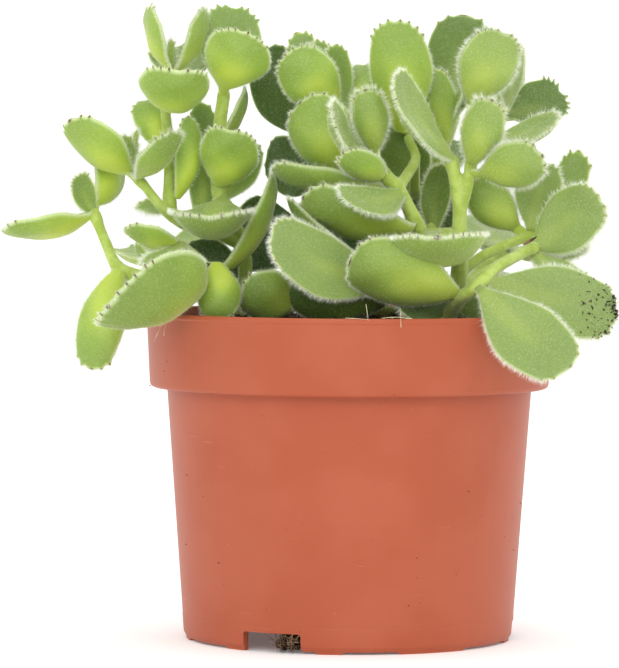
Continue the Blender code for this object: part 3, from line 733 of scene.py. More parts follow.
# Leaves: (name, base, tip, width, direction that the upper face looks, number of claws, curl)
LEAVES = [
    ("left_tip_1", (-67, -8, 25), (-89, -14, 21), 13, (0.05, 0.35, 0.95), 3, 1.0),
    ("left_tip_2", (-66, -5, 28), (-61, 10, 40), 12, (-0.6, 0.7, 0.2), 3, 1.0),
    ("left_fan_1", (-57, -4, 36), (-72, -12, 49), 13, (0.35, 0.75, 0.55), 3, 1.0),
    ("left_fan_2", (-55, -6, 35), (-46, -18, 46), 11, (-0.6, 0.5, 0.6), 3, 1.0),
    ("left_top_1", (-47, 0, 63), (-53, 4, 78), 10, (0.9, 0.25, 0.3), 3, 0.8),
    ("left_top_2", (-45, 0, 63), (-38, 4, 78), 10, (-0.85, 0.3, 0.35), 3, 0.8),
    ("left_top_3", (-46, -3, 53), (-44, -21, 62), 17, (0.05, 0.5, 0.85), 5, 1.4),
    ("left_top_4", (-45, 4, 59), (-41, 21, 70), 12, (-0.3, -0.8, 0.5), 3, 1.0),
    ("left_crown_1", (-33, -2, 58), (-28, -11, 72), 16, (0.1, 0.9, 0.35), 5, 1.0),
    ("left_crown_2", (-33, 4, 58), (-31, 13, 79), 15, (0.1, -0.95, 0.1), 5, 1.0),
    ("left_broad_1", (-34, 0, 33), (-31, -13, 47), 14, (0.05, 0.95, 0.2), 5, 1.0),
    ("left_broad_2", (-45, -3, 29), (-42, -5, 50), 7, (-0.5, 0.8, 0.1), 3, 1.0),
    ("left_broad_3", (-48, 1, 41), (-55, 8, 54), 8, (-0.2, 0.9, 0.2), 3, 1.0),
    ("left_broad_4", (-33, -2, 29), (-35, -33, 25), 20, (0, -0.3, 1), 5, 1.4),
    ("left_low_1", (-44, -21, 18), (-57, -26, 22), 8, (0, 0.6, 0.8), 3, 1.0),
    ("left_low_2", (-34, -15, 10), (-20, 1, 35), 11, (-0.7, 0.35, 0.6), 3, 1.2),
    ("left_low_3", (-34, -25, 13), (-34, -31, -1), 10, (-0.2, 0.95, -0.2), 3, 1.0),
    ("left_low_4", (-39.5, -21, 11.2), (-60, -51.5, 3.4), 27, (-0.37, 0.35, 0.71), 7, 1.5),
    ("left_low_5", (-59, -18, 11), (-66, -24, -14), 11, (0.2, 0.95, -0.1), 3, 1.0),
    ("left_low_6", (-43, -22, 18), (-50, -38, 12), 8.5, (-0.2, -0.7, 0.65), 3, 1.0),
    ("left_back_1", (-28, 5, 11), (-18, 16, 27), 19, (0.2, -0.95, 0.2), 3, 1.0),
    ("centre_back_1", (-10, 18, 45), (-23, 25, 68), 17, (-0.2, -0.9, -0.4), 3, 1.0),
    ("centre_back_2", (-6, 16, 34), (-22, 25, 41), 15, (-0.2, -0.9, -0.3), 3, 1.0),
    ("centre_back_3", (17, 9, 29), (13, 6, 49), 12, (-0.2, -0.95, 0), 3, 1.0),
    ("centre_back_4", (21, 14, 14), (24, 23, 33), 14, (0.1, -0.95, 0.1), 3, 1.0),
    ("centre_back_5", (-2, 19, 16), (-8, 46, 14), 16, (0, -0.3, 0.95), 5, 1.0),
    ("centre_back_6", (-4, 19, 32), (4, 40, 40), 14, (-0.2, -0.6, 0.8), 3, 1.0),
    ("centre_back_7", (4, 14, 4), (1, 17, 26), 18, (0, -0.95, 0.1), 3, 1.0),
    ("centre_top_1", (-4, 2, 52), (-16, -5, 67), 13.5, (-0.1, 0.9, 0.35), 5, 1.0),
    ("centre_top_2", (4, -1, 45), (2, 12, 64), 9, (0.1, 0.9, 0.3), 3, 1.0),
    ("centre_mid_1", (4, -4, 37), (-13, -7, 54), 17, (0.2, 0.9, 0.35), 3, 1.0),
    ("centre_mid_2", (4, -12, 39), (-5, -27, 52), 11, (0.35, -0.6, 0.6), 3, 1.0),
    ("centre_mid_3", (6, -10, 42), (3.5, -17, 57), 8, (0, 0.95, 0.3), 3, 1.0),
    ("centre_mid_4", (13, -12, 31), (-2, -33, 30), 10, (0, -0.8, 0.55), 3, 0.6),
    ("centre_mid_5", (16, -11, 22), (-12, -19, 30), 16, (-0.1, 0.6, 0.8), 3, 1.2),
    ("centre_mid_6", (10, -7, 33), (-20, -9, 37), 13, (-0.2, 0.3, 0.93), 3, 1.0),
    ("centre_low_1", (10, -25, 8), (-20, -41, 20.5), 16, (-0.2, -0.85, 0.5), 5, 1.0),
    ("centre_low_2", (10, -20, 4), (-16, -25, 6), 13, (0, 0.95, 0.25), 3, 1.0),
    ("centre_low_3", (27, -31, 6), (0, -36, 14), 17, (-0.1, 0.85, 0.5), 3, 1.0),
    ("centre_low_4", (25, -15, 21), (21, -49, 20.5), 23, (-0.1, 0.3, 0.95), 7, 1.3),
    ("right_top_1", (26, -10, 40), (11, -23, 60), 14, (0.7, -0.45, 0.5), 3, 1.0),
    ("right_top_2", (13, 4, 47), (11, -3, 75), 15, (0, 0.97, 0.1), 5, 1.0),
    ("right_top_3", (27, 12, 51), (30, 15, 77), 16, (-0.1, -0.95, 0), 3, 1.0),
    ("right_top_4", (31, -8, 54), (39, -15, 72), 13, (0.05, 0.9, 0.4), 5, 1.0),
    ("right_mid_1", (31, -13, 39), (35.5, -21, 54.5), 9.5, (0.2, 0.9, 0.4), 3, 1.0),
    ("right_mid_2", (42, 3, 51), (55, 7, 57), 13, (-0.3, -0.85, 0.4), 5, 1.0),
    ("right_mid_3", (37, -1, 45), (53, -8, 50), 10, (-0.1, -0.6, 0.8), 3, 1.0),
    ("right_mid_4", (34, -13, 36), (48, -23, 41), 12, (0.1, 0.85, 0.5), 3, 1.0),
    ("right_side_1", (43, 1, 22), (32, -3, 34), 10, (-0.1, 0.9, 0.3), 3, 1.0),
    ("right_side_2", (47, -3, 22), (50, 1, 39), 11, (0, -0.9, 0.3), 3, 1.0),
    ("right_side_3", (49, 0, 21), (60, 9, 41), 9, (-0.3, -0.9, 0.2), 3, 1.0),
    ("right_low_1", (47, -12, 17), (64, -18, 29), 17, (-0.1, -0.85, 0.5), 5, 1.0),
    ("right_low_2", (35, -34, 8.5), (66.5, -33, 0), 17, (-0.1, -0.9, 0.45), 3, 1.0),
    ("right_low_3", (33, -41, 6.5), (53.5, -55.5, -12), 16, (0.1, -0.95, 0.2), 3, 0.6),
    ("right_back_1", (21, 14, 36), (24, 37, 45), 13, (0, -0.4, 0.9), 3, 1.0),
]

# Young leaves, which are still of one piece with the stem that they grow on.
YOUNG_LEAVES = {
    "stem_left": [
        ((-66, -8, 25), (-70, -14, 35), 6, (0.3, -0.9, 0.3), 5, 1.0),
        ((-46, 1, 60), (-52, 10, 67), 5, (0.3, -0.3, 0.9), 3, 1.0),
        ((-34, 2, 45), (-28, 13, 57), 9, (-0.8, 0.1, 0.5), 3, 1.0),
        ((-34, 2, 29), (-25, 1, 44), 9, (-0.3, -0.9, 0.1), 3, 1.0),
        ((-39, -1, 22), (-39, 9, 54), 8, (0.3, -0.9, 0.2), 3, 1.0),
        ((-58, -17, 10), (-49, -3, 5), 11, (0, 0.5, 0.85), 3, 1.0),
        ((-43, -18, 8), (-55, -14, 17), 9, (0, 0.3, 1), 3, 1.0),
        ((-46, 32, 13), (-61, 42, 15), 13, (0.3, -0.3, 0.9), 3, 1.0),
        ((-45, 31, 13), (-36, 54, 22), 14, (-0.2, -0.5, 0.8), 5, 1.0),
        ((-40, 26, 9), (-24, 50, 6), 13, (0.1, 0.2, 0.95), 3, 1.0),
        ((-32.5, -8, 0), (-41, -5, 18), 14, (0.1, -0.95, 0.1), 3, 1.0),
    ],
    "stem_centre": [
        ((10, -23, 12), (-16, -11, 29), 11, (-0.2, 0.3, 0.9), 3, 1.0),
        ((-11, -20, 5), (-28, -26, 5.5), 13, (0.1, 0.9, 0.3), 3, 1.0),
        ((-3, 5, 50), (-14, 16, 72), 9, (-0.3, -0.9, 0.3), 3, 1.0),
        ((-3, 5, 50), (-9, 9, 70), 7, (0.2, -0.9, 0.3), 3, 1.0),
        ((-3, 4, 51), (-4, 3, 69), 6, (-0.1, -0.95, 0.2), 3, 1.0),
        ((8, -9, 35), (-2, -25, 41), 8, (-0.2, 0.6, 0.7), 3, 1.0),
    ],
    "stem_right": [
        ((24, 12, 42), (21, 2, 63), 8, (0, 0.9, 0.3), 3, 1.0),
        ((26, 11, 46), (31, 4, 60), 8, (0.9, -0.2, 0.2), 3, 1.0),
        ((40, 5, 51), (33, 4, 57), 7, (0, -0.8, 0.5), 3, 1.0),
        ((40, 5, 51), (44, 17, 69), 8, (-0.8, -0.5, 0.2), 3, 1.0),
        ((47, -15, 16), (59, -24, 9), 8, (0, -0.5, 0.85), 3, 1.0),
        ((42, 29, 16), (59, 36, 16), 12, (-0.3, -0.3, 0.9), 3, 1.0),
        ((42, 29, 16), (34, 52, 24), 13, (0.1, -0.5, 0.8), 5, 1.0),
        ((36, 26, 11), (50, 46, 3), 13, (0, 0.2, 0.95), 3, 1.0),
        ((26, -22, 2), (12, -31, 3), 9, (0.2, -0.9, 0.4), 3, 1.0),
        ((27, -12, 2), (46, -19, 5), 11, (0, -0.8, 0.6), 3, 1.0),
        ((22, 12, 20), (24, 5, 38), 7, (0.1, -0.95, 0.2), 3, 1.0),
    ],
}
print("leaves:", len(LEAVES), "young leaves:", sum(map(len, YOUNG_LEAVES.values())))

# %% [markdown]
# ## The skin of the leaves
#
# The leaf is a water store: a thick translucent body under a waxy skin, covered in short white
# hairs that feel like velvet. To the eye that gives three things. Light enters the flesh and
# comes out yellow-green, most of all near the base: the shader's subsurface layer gives some of
# it, and a painted glow, a yellow colour along the spine near the base, stands in for the rest.
# The hairs catch light at grazing angles, so the outline is paler than the middle, which is what
# the sheen layer of the shader does, together with a paler margin colour that is partly the
# white hairs and partly painted sheen. And the claws are dry brown tips. The leaf maker writes
# these places on the points as named numbers, and the material reads them: along, spine (the
# mask of the painted glow), margin, claw, upper, the darkness (partly painted shade) and down.

# %% Velvety succulent skin


def reading(tree, name):
    """A named number of the piece's points."""
    return add(tree, "Attribute", {"attribute_name": name}).outputs["Fac"]


def velvet_leaf_skin():
    """Hairy succulent skin: a painted glow at the base, greyer above, white at the edge from hairs and
    painted sheen, darker with age and painted shade, with brown claws.
    """
    made, tree, shader, place = new_material("succulent_leaf_skin_velvety", {
        "Roughness": 0.5, "IOR": 1.42, "Subsurface Weight": 0.5, "Subsurface Radius": (0.9, 1.0, 0.2),
        "Subsurface Scale": 2.4 * MM, "Sheen Weight": 0.3, "Sheen Roughness": 0.4,
        "Sheen Tint": linear("#eef6cc")})
    bright = painted(tree, "#88a636", "#9cb745", blotches(tree, place, 14, 3.0), 0.3, 0.7)
    # Painted glow: a yellow colour along the spine near the base stands in for light coming through the
    # flesh.
    painted_glow = painted(tree, bright, "#bed04a", reading(tree, "spine"), 0.1, 0.9, 0.85)
    far = painted(tree, painted_glow, "#728c3a", reading(tree, "along"), 0.55, 1.0, 0.6)
    top = painted(tree, far, "#789052", reading(tree, "upper"), 0.4, 0.6, 0.5)
    downy = painted(tree, top, "#8da05e", reading(tree, "down"), 0.0, 1.0, 0.45)
    # Painted shade: the darkness number turns a leaf towards near-black green. It stands for the deeper
    # green of old leaves and, for leaves deep inside the plant, for painted shade.
    dark_green_and_shaded = mixed(tree, reading(tree, "dark_green_and_painted_shade"), downy, "#34520f")
    furred = painted(tree, dark_green_and_shaded, "#dde6bd", blotches(tree, place, 0.5, 1.0), 0.4, 0.7, 0.08)
    # The margin is paler: partly the white hairs that crowd there, partly painted sheen for the light that
    # they catch at grazing angles.
    hair_white_and_painted_sheen = painted(tree, furred, "#ccd8a8", reading(tree, "margin"), 0.35, 0.95, 0.7)
    coloured(tree, shader, painted(tree, hair_white_and_painted_sheen, "#553424", reading(tree, "claw"), 0.25, 0.7))
    roughened(tree, shader, blotches(tree, place, 0.5), 0.2, 0.1)
    return made


def stem_skin():
    """Young succulent stem: pale yellow-green, darker and faintly brown towards the soil."""
    made, tree, shader, place = new_material("succulent_stem_skin_downy", {
        "Roughness": 0.55, "IOR": 1.42, "Subsurface Weight": 0.35, "Subsurface Radius": (0.9, 1.0, 0.25),
        "Subsurface Scale": 1.2 * MM, "Sheen Weight": 0.3, "Sheen Tint": linear("#eef6d8")})
    green = painted(tree, "#9fb548", "#b5c865", blotches(tree, place, 3, 3.0), 0.35, 0.65)
    height = add(tree, "SeparateXYZ", (), {"Vector": place}).outputs["Z"]
    clean, woody = rim_centre[2] + 10 * MM, rim_centre[2] - 4 * MM
    coloured(tree, shader, painted(tree, green, "#77773a", height, clean, woody, 0.75))
    roughened(tree, shader, blotches(tree, place, 0.5), 0.3, 0.15)
    return made


def plant_hair():
    """Plant hair: a hollow white cell, which takes the leaf's green at its root."""
    made, tree, shader, _ = new_material("plant_hair_white", {"Roughness": 0.5})
    coloured(tree, shader, painted(tree, "#c4d098", "#f4f6e8", reading(tree, "along"), 0.0, 0.5))
    return made


leaf_skin = velvet_leaf_skin()
green_stem = stem_skin()
white_hair = plant_hair()

# %% [markdown]
# ## The stems
#
# A young stem is a soft green rod that swells a little at each leaf. Its branches run into each
# other without a seam, so separate tubes would look like pipework. The tubes are made first,
# then remeshed into one skin by voxels smaller than half a millimetre, and smoothed, which
# fills the crotches the way that growth does.

# %% Routes of the branches
ROUTE_STEP = 1.0


def smooth_route(points):
    """Evenly spaced points on a Catmull-Rom curve through the route's own points, in metres."""
    points = [in_plant(point) for point in points]
    ends = [2 * points[0] - points[1]] + points + [2 * points[-1] - points[-2]]
    route = []
    for before, start, end, after in zip(ends, ends[1:], ends[2:], ends[3:]):
        steps = max(1, round(float(np.linalg.norm(end - start)) / (ROUTE_STEP * MM)))
        for step in range(steps):
            t = step / steps
            pull = -before + 3 * start - 3 * end + after
            ease = 2 * before - 5 * start + 4 * end - after
            route.append(0.5 * (pull * t ** 3 + ease * t ** 2 + (end - before) * t) + start)
    return np.array(route + [points[-1]])


ROUTES = {name: [smooth_route(points) for _, _, points in branches] for name, branches in STEMS.items()}
print("branch routes:", sum(map(len, ROUTES.values())))

# %% Grow the stems
STEM_SIDES = 16
STEM_VOXEL = 0.42
NODE_SWELLING = 0.35
NODE_LENGTH = 1.6
SMOOTHING_ROUNDS = 6


def leaf_feet(stem):
    """Where the leaves of one stem leave it, in metres."""
    side = stem.removeprefix("stem_")
    rows = [row[1] for row in LEAVES if row[0].startswith(side)] + [row[0] for row in YOUNG_LEAVES[stem]]
    return np.array([in_plant(point) for point in rows])


def grow_stem(name):
    """All branches of one stem in a single smooth skin."""
    feet = leaf_feet(name)
    parts = []
    for (first_radius, last_radius, _), route in zip(STEMS[name], ROUTES[name]):
        radii = np.linspace(first_radius, last_radius, len(route)) * plant_scale * MM
        away = np.linalg.norm(route[:, None] - feet[None], axis=2).min(1) / (NODE_LENGTH * MM)
        radii = radii + NODE_SWELLING * MM * np.exp(-np.maximum(away - 1, 0) ** 2)
        parts.append(tube(route, radii, STEM_SIDES))
    stem = joined(name + "_skin", parts, green_stem)
    skin = stem.modifiers.new("skin", "REMESH")
    skin.mode = "VOXEL"
    skin.voxel_size = STEM_VOXEL * MM
    soft = stem.modifiers.new("soft", "SMOOTH")
    soft.factor = 0.5
    soft.iterations = SMOOTHING_ROUNDS
    apply_modifiers(stem)
    stem.data.shade_smooth()
    return settle(stem, "green_stem", name)


stems = {name: grow_stem(name) for name in STEMS}
for name, stem in stems.items():
    print(name, "faces:", len(stem.data.polygons))

# %% [markdown]
# ## The leaves
#
# A leaf of this plant is shaped like a paw: narrow at the stalk, widest past the middle, thick
# as a cushion, with a row of small claws round the end. It has a rule, so it is drawn by
# formulas: an outline that swells and closes, claws as little peaks between shallow bays, a
# rounded thickness, a lengthwise bend and a cup across. Rings run from the rim to the spine on
# both faces, closest together at the rim where the surface turns over.

# %% Leaf outline
# Angles are in degrees, and heights and widths in millimetres. The drift is a share of half the
# gap between two claws. The apex zone is where the stalk's power gives way to the apex's.
WIDEST_SHOULDER = 153.0
SHOULDER_PER_CLAW = 4.5
HUB_SHARE = 0.72
SIDE_SAMPLES = 22
CLAW_SAMPLES = 10
STALK_POWER = 1.7
CLAW_HEIGHT = 0.6
SERRATION = 1.05
BAY_DEPTH = 0.15
CLAW_TAPER = 1.4
CLAW_REACH = 8
CLAW_DRIFT = 0.3
CLAW_VIGOUR = (0.5, 1.15)
CLAW_FULL_WIDTH = 10.0
CLAW_TIP_POWER = 3
LENGTH_POWER = 0.75
APEX_ZONE = (0.45, 0.75)
PETIOLE_HALF_WIDTH = 1.5
PETIOLE_SHARE = 0.15
PETIOLE_TAPER = 0.1
PETIOLE_STEPS = np.array([1.0, 0.75, 0.5, 0.25])


def leaf_outline(layout_claws, claws):
    """Angles round the leaf from its foot, and for each how near a claw is, its vigour and its row.

    The shoulder, where the row begins, depends on the number of claws in the layout.
    """
    shoulder = math.radians(WIDEST_SHOULDER - SHOULDER_PER_CLAW * layout_claws)
    tips = np.linspace(shoulder, math.tau - shoulder, claws)
    half_gap = (tips[1] - tips[0]) / 2
    first = shoulder - half_gap
    side = np.linspace(0, first, SIDE_SAMPLES, endpoint=False)
    row = np.linspace(first, math.tau - first, claws * CLAW_SAMPLES + 1)
    angles = np.concatenate([side, row, math.tau - side[::-1]])
    tips = tips + half_gap * chance.uniform(-CLAW_DRIFT, CLAW_DRIFT, claws)
    gaps = np.abs(angles[:, None] - tips)
    nearness = 1 - np.clip(gaps.min(1) / half_gap, 0, 1)
    vigour = chance.uniform(*CLAW_VIGOUR, claws)[gaps.argmin(1)]
    in_row = np.clip(np.minimum(angles - first, math.tau - first - angles) / half_gap, 0, 1)
    return angles, nearness, vigour, in_row


def leaf_rim(length, width, layout_claws, claws, claw_height, apex_power):
    """The rim in the leaf's plane, in millimetres: a smooth outline, the push of its claws, and numbers."""
    angles, nearness, vigour, in_row = leaf_outline(layout_claws, claws)
    petiole = min(PETIOLE_HALF_WIDTH, PETIOLE_SHARE * width)
    along = ((1 - np.cos(angles)) / 2) ** LENGTH_POWER
    power = STALK_POWER - (STALK_POWER - apex_power) * ramp(*APEX_ZONE, along)
    hand = np.where(angles < math.pi, 1.0, -1.0)
    x = along * length
    y = hand * (np.abs(np.sin(angles)) ** power * width / 2 + petiole * (1 - along))
    spine = np.minimum(x, HUB_SHARE * length)
    outward = unit(np.stack([x - spine, y], 1))
    scale = min(1.0, width / CLAW_FULL_WIDTH)
    push = scale * ((claw_height * vigour + BAY_DEPTH) * nearness ** CLAW_TAPER - BAY_DEPTH * in_row)
    foot_y = petiole * (1 - PETIOLE_TAPER * PETIOLE_STEPS)
    before = np.concatenate([PETIOLE_STEPS, np.zeros(len(x)), PETIOLE_STEPS[::-1]])
    x = np.concatenate([0 * foot_y, x, 0 * foot_y])
    y = np.concatenate([foot_y, y, -foot_y[::-1]])
    still = np.zeros((len(foot_y), 2))
    push = np.concatenate([still, outward * push[:, None], still])
    claw = np.concatenate([0 * foot_y, nearness ** CLAW_TIP_POWER, 0 * foot_y])
    return x, y, push, claw, before


# %% Leaf body
# Thickness, cup and ripple are shares of the leaf's width. Bend and sway are shares of its length.
LEAF_THICKNESS = 0.27
UNDERSIDE_SHARE = 0.64
LEAF_BEND = 0.1
LEAF_CUP = 0.12
RING_SHARES = np.array([1, 0.99, 0.965, 0.925, 0.86, 0.77, 0.65, 0.5, 0.33, 0.16, 0.0])
CUP_POWER = 2.2
HUMP_POWER = 0.8
CUSHION_POWERS = (2.4, 0.55)
APEX_POWERS = (0.55, 0.75)
TWIST_DEGREES = 5
SWAY = 0.22
RIPPLE = 0.02
# Ripples: each is its share of the height, and the radians that it runs along and across the leaf.
RIPPLES = ((1.0, 7, 5), (0.6, 13, 9))
RIPPLE_ZONE = (0, 0.2)
MARGIN_WIDTH = 0.6
CLAW_TIP_WIDTH = 0.48
SAME_PLACE_DIGITS = 8
# Added where two points may meet, so that the direction between them has a length.
TINY = 1e-9
# The painted glow: where along the leaf it fades, and how narrow it is on the upper face and on the
# underside.
PAINTED_GLOW_ZONE = (0.95, 0.25)
MIDRIB_FOCUS = 6.5
BELLY_FOCUS = 2.6


def nearest_on_stem(point, stem):
    """The point of the stem's branches that is nearest."""
    routes = np.concatenate(ROUTES[stem])
    return routes[np.linalg.norm(routes - point, axis=1).argmin()]


def leaf_frame(base, tip, face):
    """The leaf's foot, its length in millimetres and its along, across and upper directions."""
    foot, end = in_plant(base), in_plant(tip)
    length = float(np.linalg.norm(end - foot))
    along = (end - foot) / length
    upper = np.array(face, float)
    upper = unit(upper - along * (upper @ along))
    return foot, length / MM, along, np.cross(upper, along), upper


def leaf_faces(points, count, rings):
    """The faces of a leaf from its rings of points: the rim's, those above it and those below it.

    The rings meet along the spine, so points in one place are taken as one corner. The last face
    closes the foot of the stalk.
    """
    places = points.round(SAME_PLACE_DIGITS)
    _, first_seen, same = np.unique(places, axis=0, return_index=True, return_inverse=True)
    same = first_seen[same.ravel()]
    faces = []
    for side in range(2):
        order = [0] + [1 + side * rings + ring for ring in range(rings)]
        for outer, inner in zip(order, order[1:]):
            for number in range(count - 1):
                here, beyond = outer * count + number, inner * count + number
                corners = [here, here + 1, beyond + 1, beyond]
                corners = list(dict.fromkeys(int(same[c]) for c in corners))
                if len(corners) > 2:
                    faces.append(corners if side else corners[::-1])
    starts = [0] + [(1 + ring) * count for ring in range(rings)]
    unders = [(1 + rings + ring) * count for ring in range(rings)]
    ends = [start + count - 1 for start in starts[::-1] + unders]
    loop = starts + ends + unders[::-1]
    faces.append(list(dict.fromkeys(int(same[c]) for c in loop)))
    return faces


def leaf_body(row, stem, looks):
    """Points, faces and named numbers of one leaf, with its rim for the hairs."""
    base, tip, width, face, layout_claws, curl = row
    dark_green_and_painted_shade, down, claws, claw_height = looks
    foot, length, along, across, upper = leaf_frame(base, tip, face)
    width = width * plant_scale
    apex_power = chance.uniform(*APEX_POWERS)
    x, y, push, claw, before = leaf_rim(length, width, layout_claws, claws, claw_height, apex_power)
    spine = np.minimum(x, HUB_SHARE * length)
    root = nearest_on_stem(foot, stem)
    phases = chance.uniform(0, math.tau, 4)
    twist = math.radians(chance.normal() * TWIST_DEGREES)
    sway = chance.uniform(-SWAY, SWAY) * length

    def place(px, py, lift, pushed_back):
        share = px / length
        bend = 4 * LEAF_BEND * curl * length * (share ** 2 - share)
        cup = LEAF_CUP * curl * width * np.abs(2 * py / width) ** CUP_POWER
        wave = 0
        for (part, run, reach), (first, second) in zip(RIPPLES, phases.reshape(-1, 2)):
            wave = wave + part * np.sin(run * share + first) * np.sin(reach * py / width + second)
        height = lift + bend + cup + RIPPLE * width * wave * ramp(*RIPPLE_ZONE, share)
        turn = twist * share
        py = py + sway * (share ** 2 - share)
        side = py * np.cos(turn) - height * np.sin(turn)
        height = py * np.sin(turn) + height * np.cos(turn)
        flat = across * side[:, None] + upper * height[:, None] + along * px[:, None]
        return foot + flat * MM + (root - foot) * pushed_back[:, None]

    def layer(share, side):
        """One ring of points: its places and its numbers. Side is 1 above, -1 below, 0 at the rim."""
        px = spine + share * (x - spine) + push[:, 0] * share ** CLAW_REACH
        py = share * y + push[:, 1] * share ** CLAW_REACH
        body = 0.5 + 0.5 * np.sin(math.pi * np.clip(spine / length, 0, 1) ** HUMP_POWER)
        depth = (1 - UNDERSIDE_SHARE) if side > 0 else UNDERSIDE_SHARE
        focus = MIDRIB_FOCUS if side > 0 else BELLY_FOCUS
        fall, crown = CUSHION_POWERS
        full = LEAF_THICKNESS * width * body * max(0.0, 1 - share ** fall) ** crown
        inward = (1 - share) * np.hypot(x - spine, y)
        numbers = {
            "along": px / length,
            # The spine number is the mask of the painted glow, a painted light along the spine near the
            # base.
            "spine": np.exp(-(focus * py / width) ** 2) * ramp(*PAINTED_GLOW_ZONE, px / length),
            "margin": np.exp(-inward / MARGIN_WIDTH),
            "claw": claw * np.exp(-inward / CLAW_TIP_WIDTH),
            "upper": np.full(len(x), 0.5 + 0.5 * side),
            # Darkness: partly the leaf's own deep green, partly painted shade.
            "dark_green_and_painted_shade": np.full(len(x), dark_green_and_painted_shade),
            "down": np.full(len(x), down),
        }
        return place(px, py, side * depth * full, before), numbers

    layers = [layer(1.0, 0)]
    layers += [layer(share, 1) for share in RING_SHARES[1:]]
    layers += [layer(share, -1) for share in RING_SHARES[1:]]
    points = np.concatenate([places for places, _ in layers])
    numbers = {key: np.concatenate([values[key] for _, values in layers]) for key in layers[0][1]}
    count, rings = len(x), len(RING_SHARES) - 1
    faces = leaf_faces(points, count, rings)
    used = np.unique([corner for face in faces for corner in face])
    fresh = {int(old): new for new, old in enumerate(used)}
    faces = [[fresh[corner] for corner in face] for face in faces]
    numbers = {key: values[used] for key, values in numbers.items()}
    rim = {
        "points": points[:count],
        "outward": unit(points[:count] - points[2 * count:3 * count] + TINY),
        "upward": unit(points[3 * count:4 * count] - points[(3 + rings) * count:(4 + rings) * count]),
        "down": down,
    }
    return points[used], faces, numbers, rim


# %% [markdown]
# Old leaves near the middle of the plant are a deep smooth green and young ones are pale with
# down. Leaves deep inside the plant, where little light reaches, are painted darker as well,
# which is painted shade, and the darkest of them fill gaps where there is deep shade among the
# stems. So each leaf has a darkness, partly its own green and partly painted shade, and an
# amount of down, both from 0 to 1. Most leaves take the down of their stem, and only the leaves
# that differ are named. The imported model gives a leaf three to seven claws, as few as its
# shape needs. A real leaf has a finer row of them along the same edge, and the deep, smooth
# leaves have hardly any.

# %% Looks of each leaf
# Darkness of each leaf, from 0 to 1: partly the deeper green of old leaves, partly painted shade for leaves
# deep inside the plant and in dark gaps.
DARK_GREENS_AND_PAINTED_SHADES = {
    "centre_back_1": 0.85, "centre_back_2": 0.9, "centre_back_3": 0.25, "centre_back_4": 0.9,
    "centre_low_2": 0.85, "right_top_3": 0.4, "right_mid_2": 0.65, "centre_mid_5": 0.15,
    "centre_low_3": 0.2, "left_back_1": 1.0, "centre_back_5": 0.5, "centre_back_6": 0.5,
    "centre_back_7": 1.0, "right_back_1": 0.5, "left_low_2": 0.2, "left_young_11": 0.95,
    "left_low_4": 0.3, "left_top_4": 0.3, "left_young_3": 0.5, "left_young_5": 0.15,
    "centre_young_1": 0.5, "centre_young_2": 0.35, "right_young_9": 0.75, "right_young_10": 0.6,
    "right_young_11": 0.2, "centre_top_2": 0.2, "right_low_3": 0.13, "right_low_2": 0.12,
}
STEM_DOWN = {"stem_left": 0.15, "stem_centre": 0.3, "stem_right": 0.6}
DOWN = {
    "right_top_4": 0.95, "right_mid_1": 1.0, "right_mid_3": 0.9, "right_mid_4": 0.8, "right_low_1": 0.9,
    "right_low_2": 0.9, "centre_mid_3": 1.0, "centre_mid_2": 0.8, "centre_mid_4": 0.7,
    "centre_mid_6": 0.5, "left_low_6": 1.0, "left_fan_2": 0.7, "left_young_1": 0.6, "left_low_4": 0.25,
    "left_broad_4": 0.5, "left_low_5": 0.4, "right_mid_2": 0.1, "right_top_3": 0.0, "right_top_2": 0.2,
    "left_top_1": 0.5, "left_top_2": 0.6, "centre_low_1": 0.6, "centre_back_1": 0.0, "centre_back_2": 0.0,
    "right_low_3": 0.7, "centre_low_4": 0.4, "left_low_1": 0.3,
}
# Claws: how many a leaf has for each number of them in the layout.
CLAWS = {3: 5, 5: 8, 7: 11}
# Serrated: the leaves whose claws stand out most.
SERRATED = {
    "left_crown_2", "left_young_1", "right_top_2", "right_side_3", "centre_young_3", "centre_young_4",
    "centre_young_5", "centre_top_2", "left_top_1", "right_mid_2",
}
SMOOTH_SHADE = 0.7
SMOOTH_CLAW_SHARE = 0.2


def looks_of(name, stem, layout_claws):
    """The leaf's darkness, partly its own deep green and partly painted shade, its down, and the number and
    height of its claws.
    """
    dark_green_and_painted_shade = DARK_GREENS_AND_PAINTED_SHADES.get(name, 0.0)
    smooth = dark_green_and_painted_shade > SMOOTH_SHADE
    height = SERRATION if name in SERRATED else CLAW_HEIGHT
    height = SMOOTH_CLAW_SHARE * CLAW_HEIGHT if smooth else height
    return dark_green_and_painted_shade, DOWN.get(name, STEM_DOWN[stem]), CLAWS[layout_claws], height


# %% [markdown]
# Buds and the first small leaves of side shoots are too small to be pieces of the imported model.
# They stand in the forks of the branches, and they are all down and brown tip.

# %% Buds, each with its stem and then a leaf's row
BUDS = [
    ("stem_left", (-46.3, 1, 62), (-46.6, 0, 70), 1.8, (0, -0.9, 0.1), 3, 0.3),
    ("stem_left", (-55, -5, 34.5), (-58.5, -8, 45), 4, (0.3, -0.9, 0.2), 3, 1.0),
    ("stem_left", (-55, -5, 34.5), (-55.4, -6, 46.5), 1.6, (0.4, -0.9, 0.1), 3, 0.5),
    ("stem_left", (-48, -4, 26), (-54.5, 0, 27.5), 4.5, (0, -0.7, 0.7), 3, 1.0),
    ("stem_right", (49, -12, 15), (61, -10, 17.5), 4.5, (0, -0.6, 0.8), 3, 1.0),
]
BUD_CLAWS = 3
BUD_CLAW_HEIGHT = 1.2

# %% Grow the leaves


def make_leaf(name, row, stem, looks):
    """One leaf as a piece, with its rim for the hairs."""
    points, faces, numbers, rim = leaf_body(row, stem, looks)
    made = closed_and_smooth(piece_from_faces(name, points, faces, leaf_skin, numbers))
    return made, rim


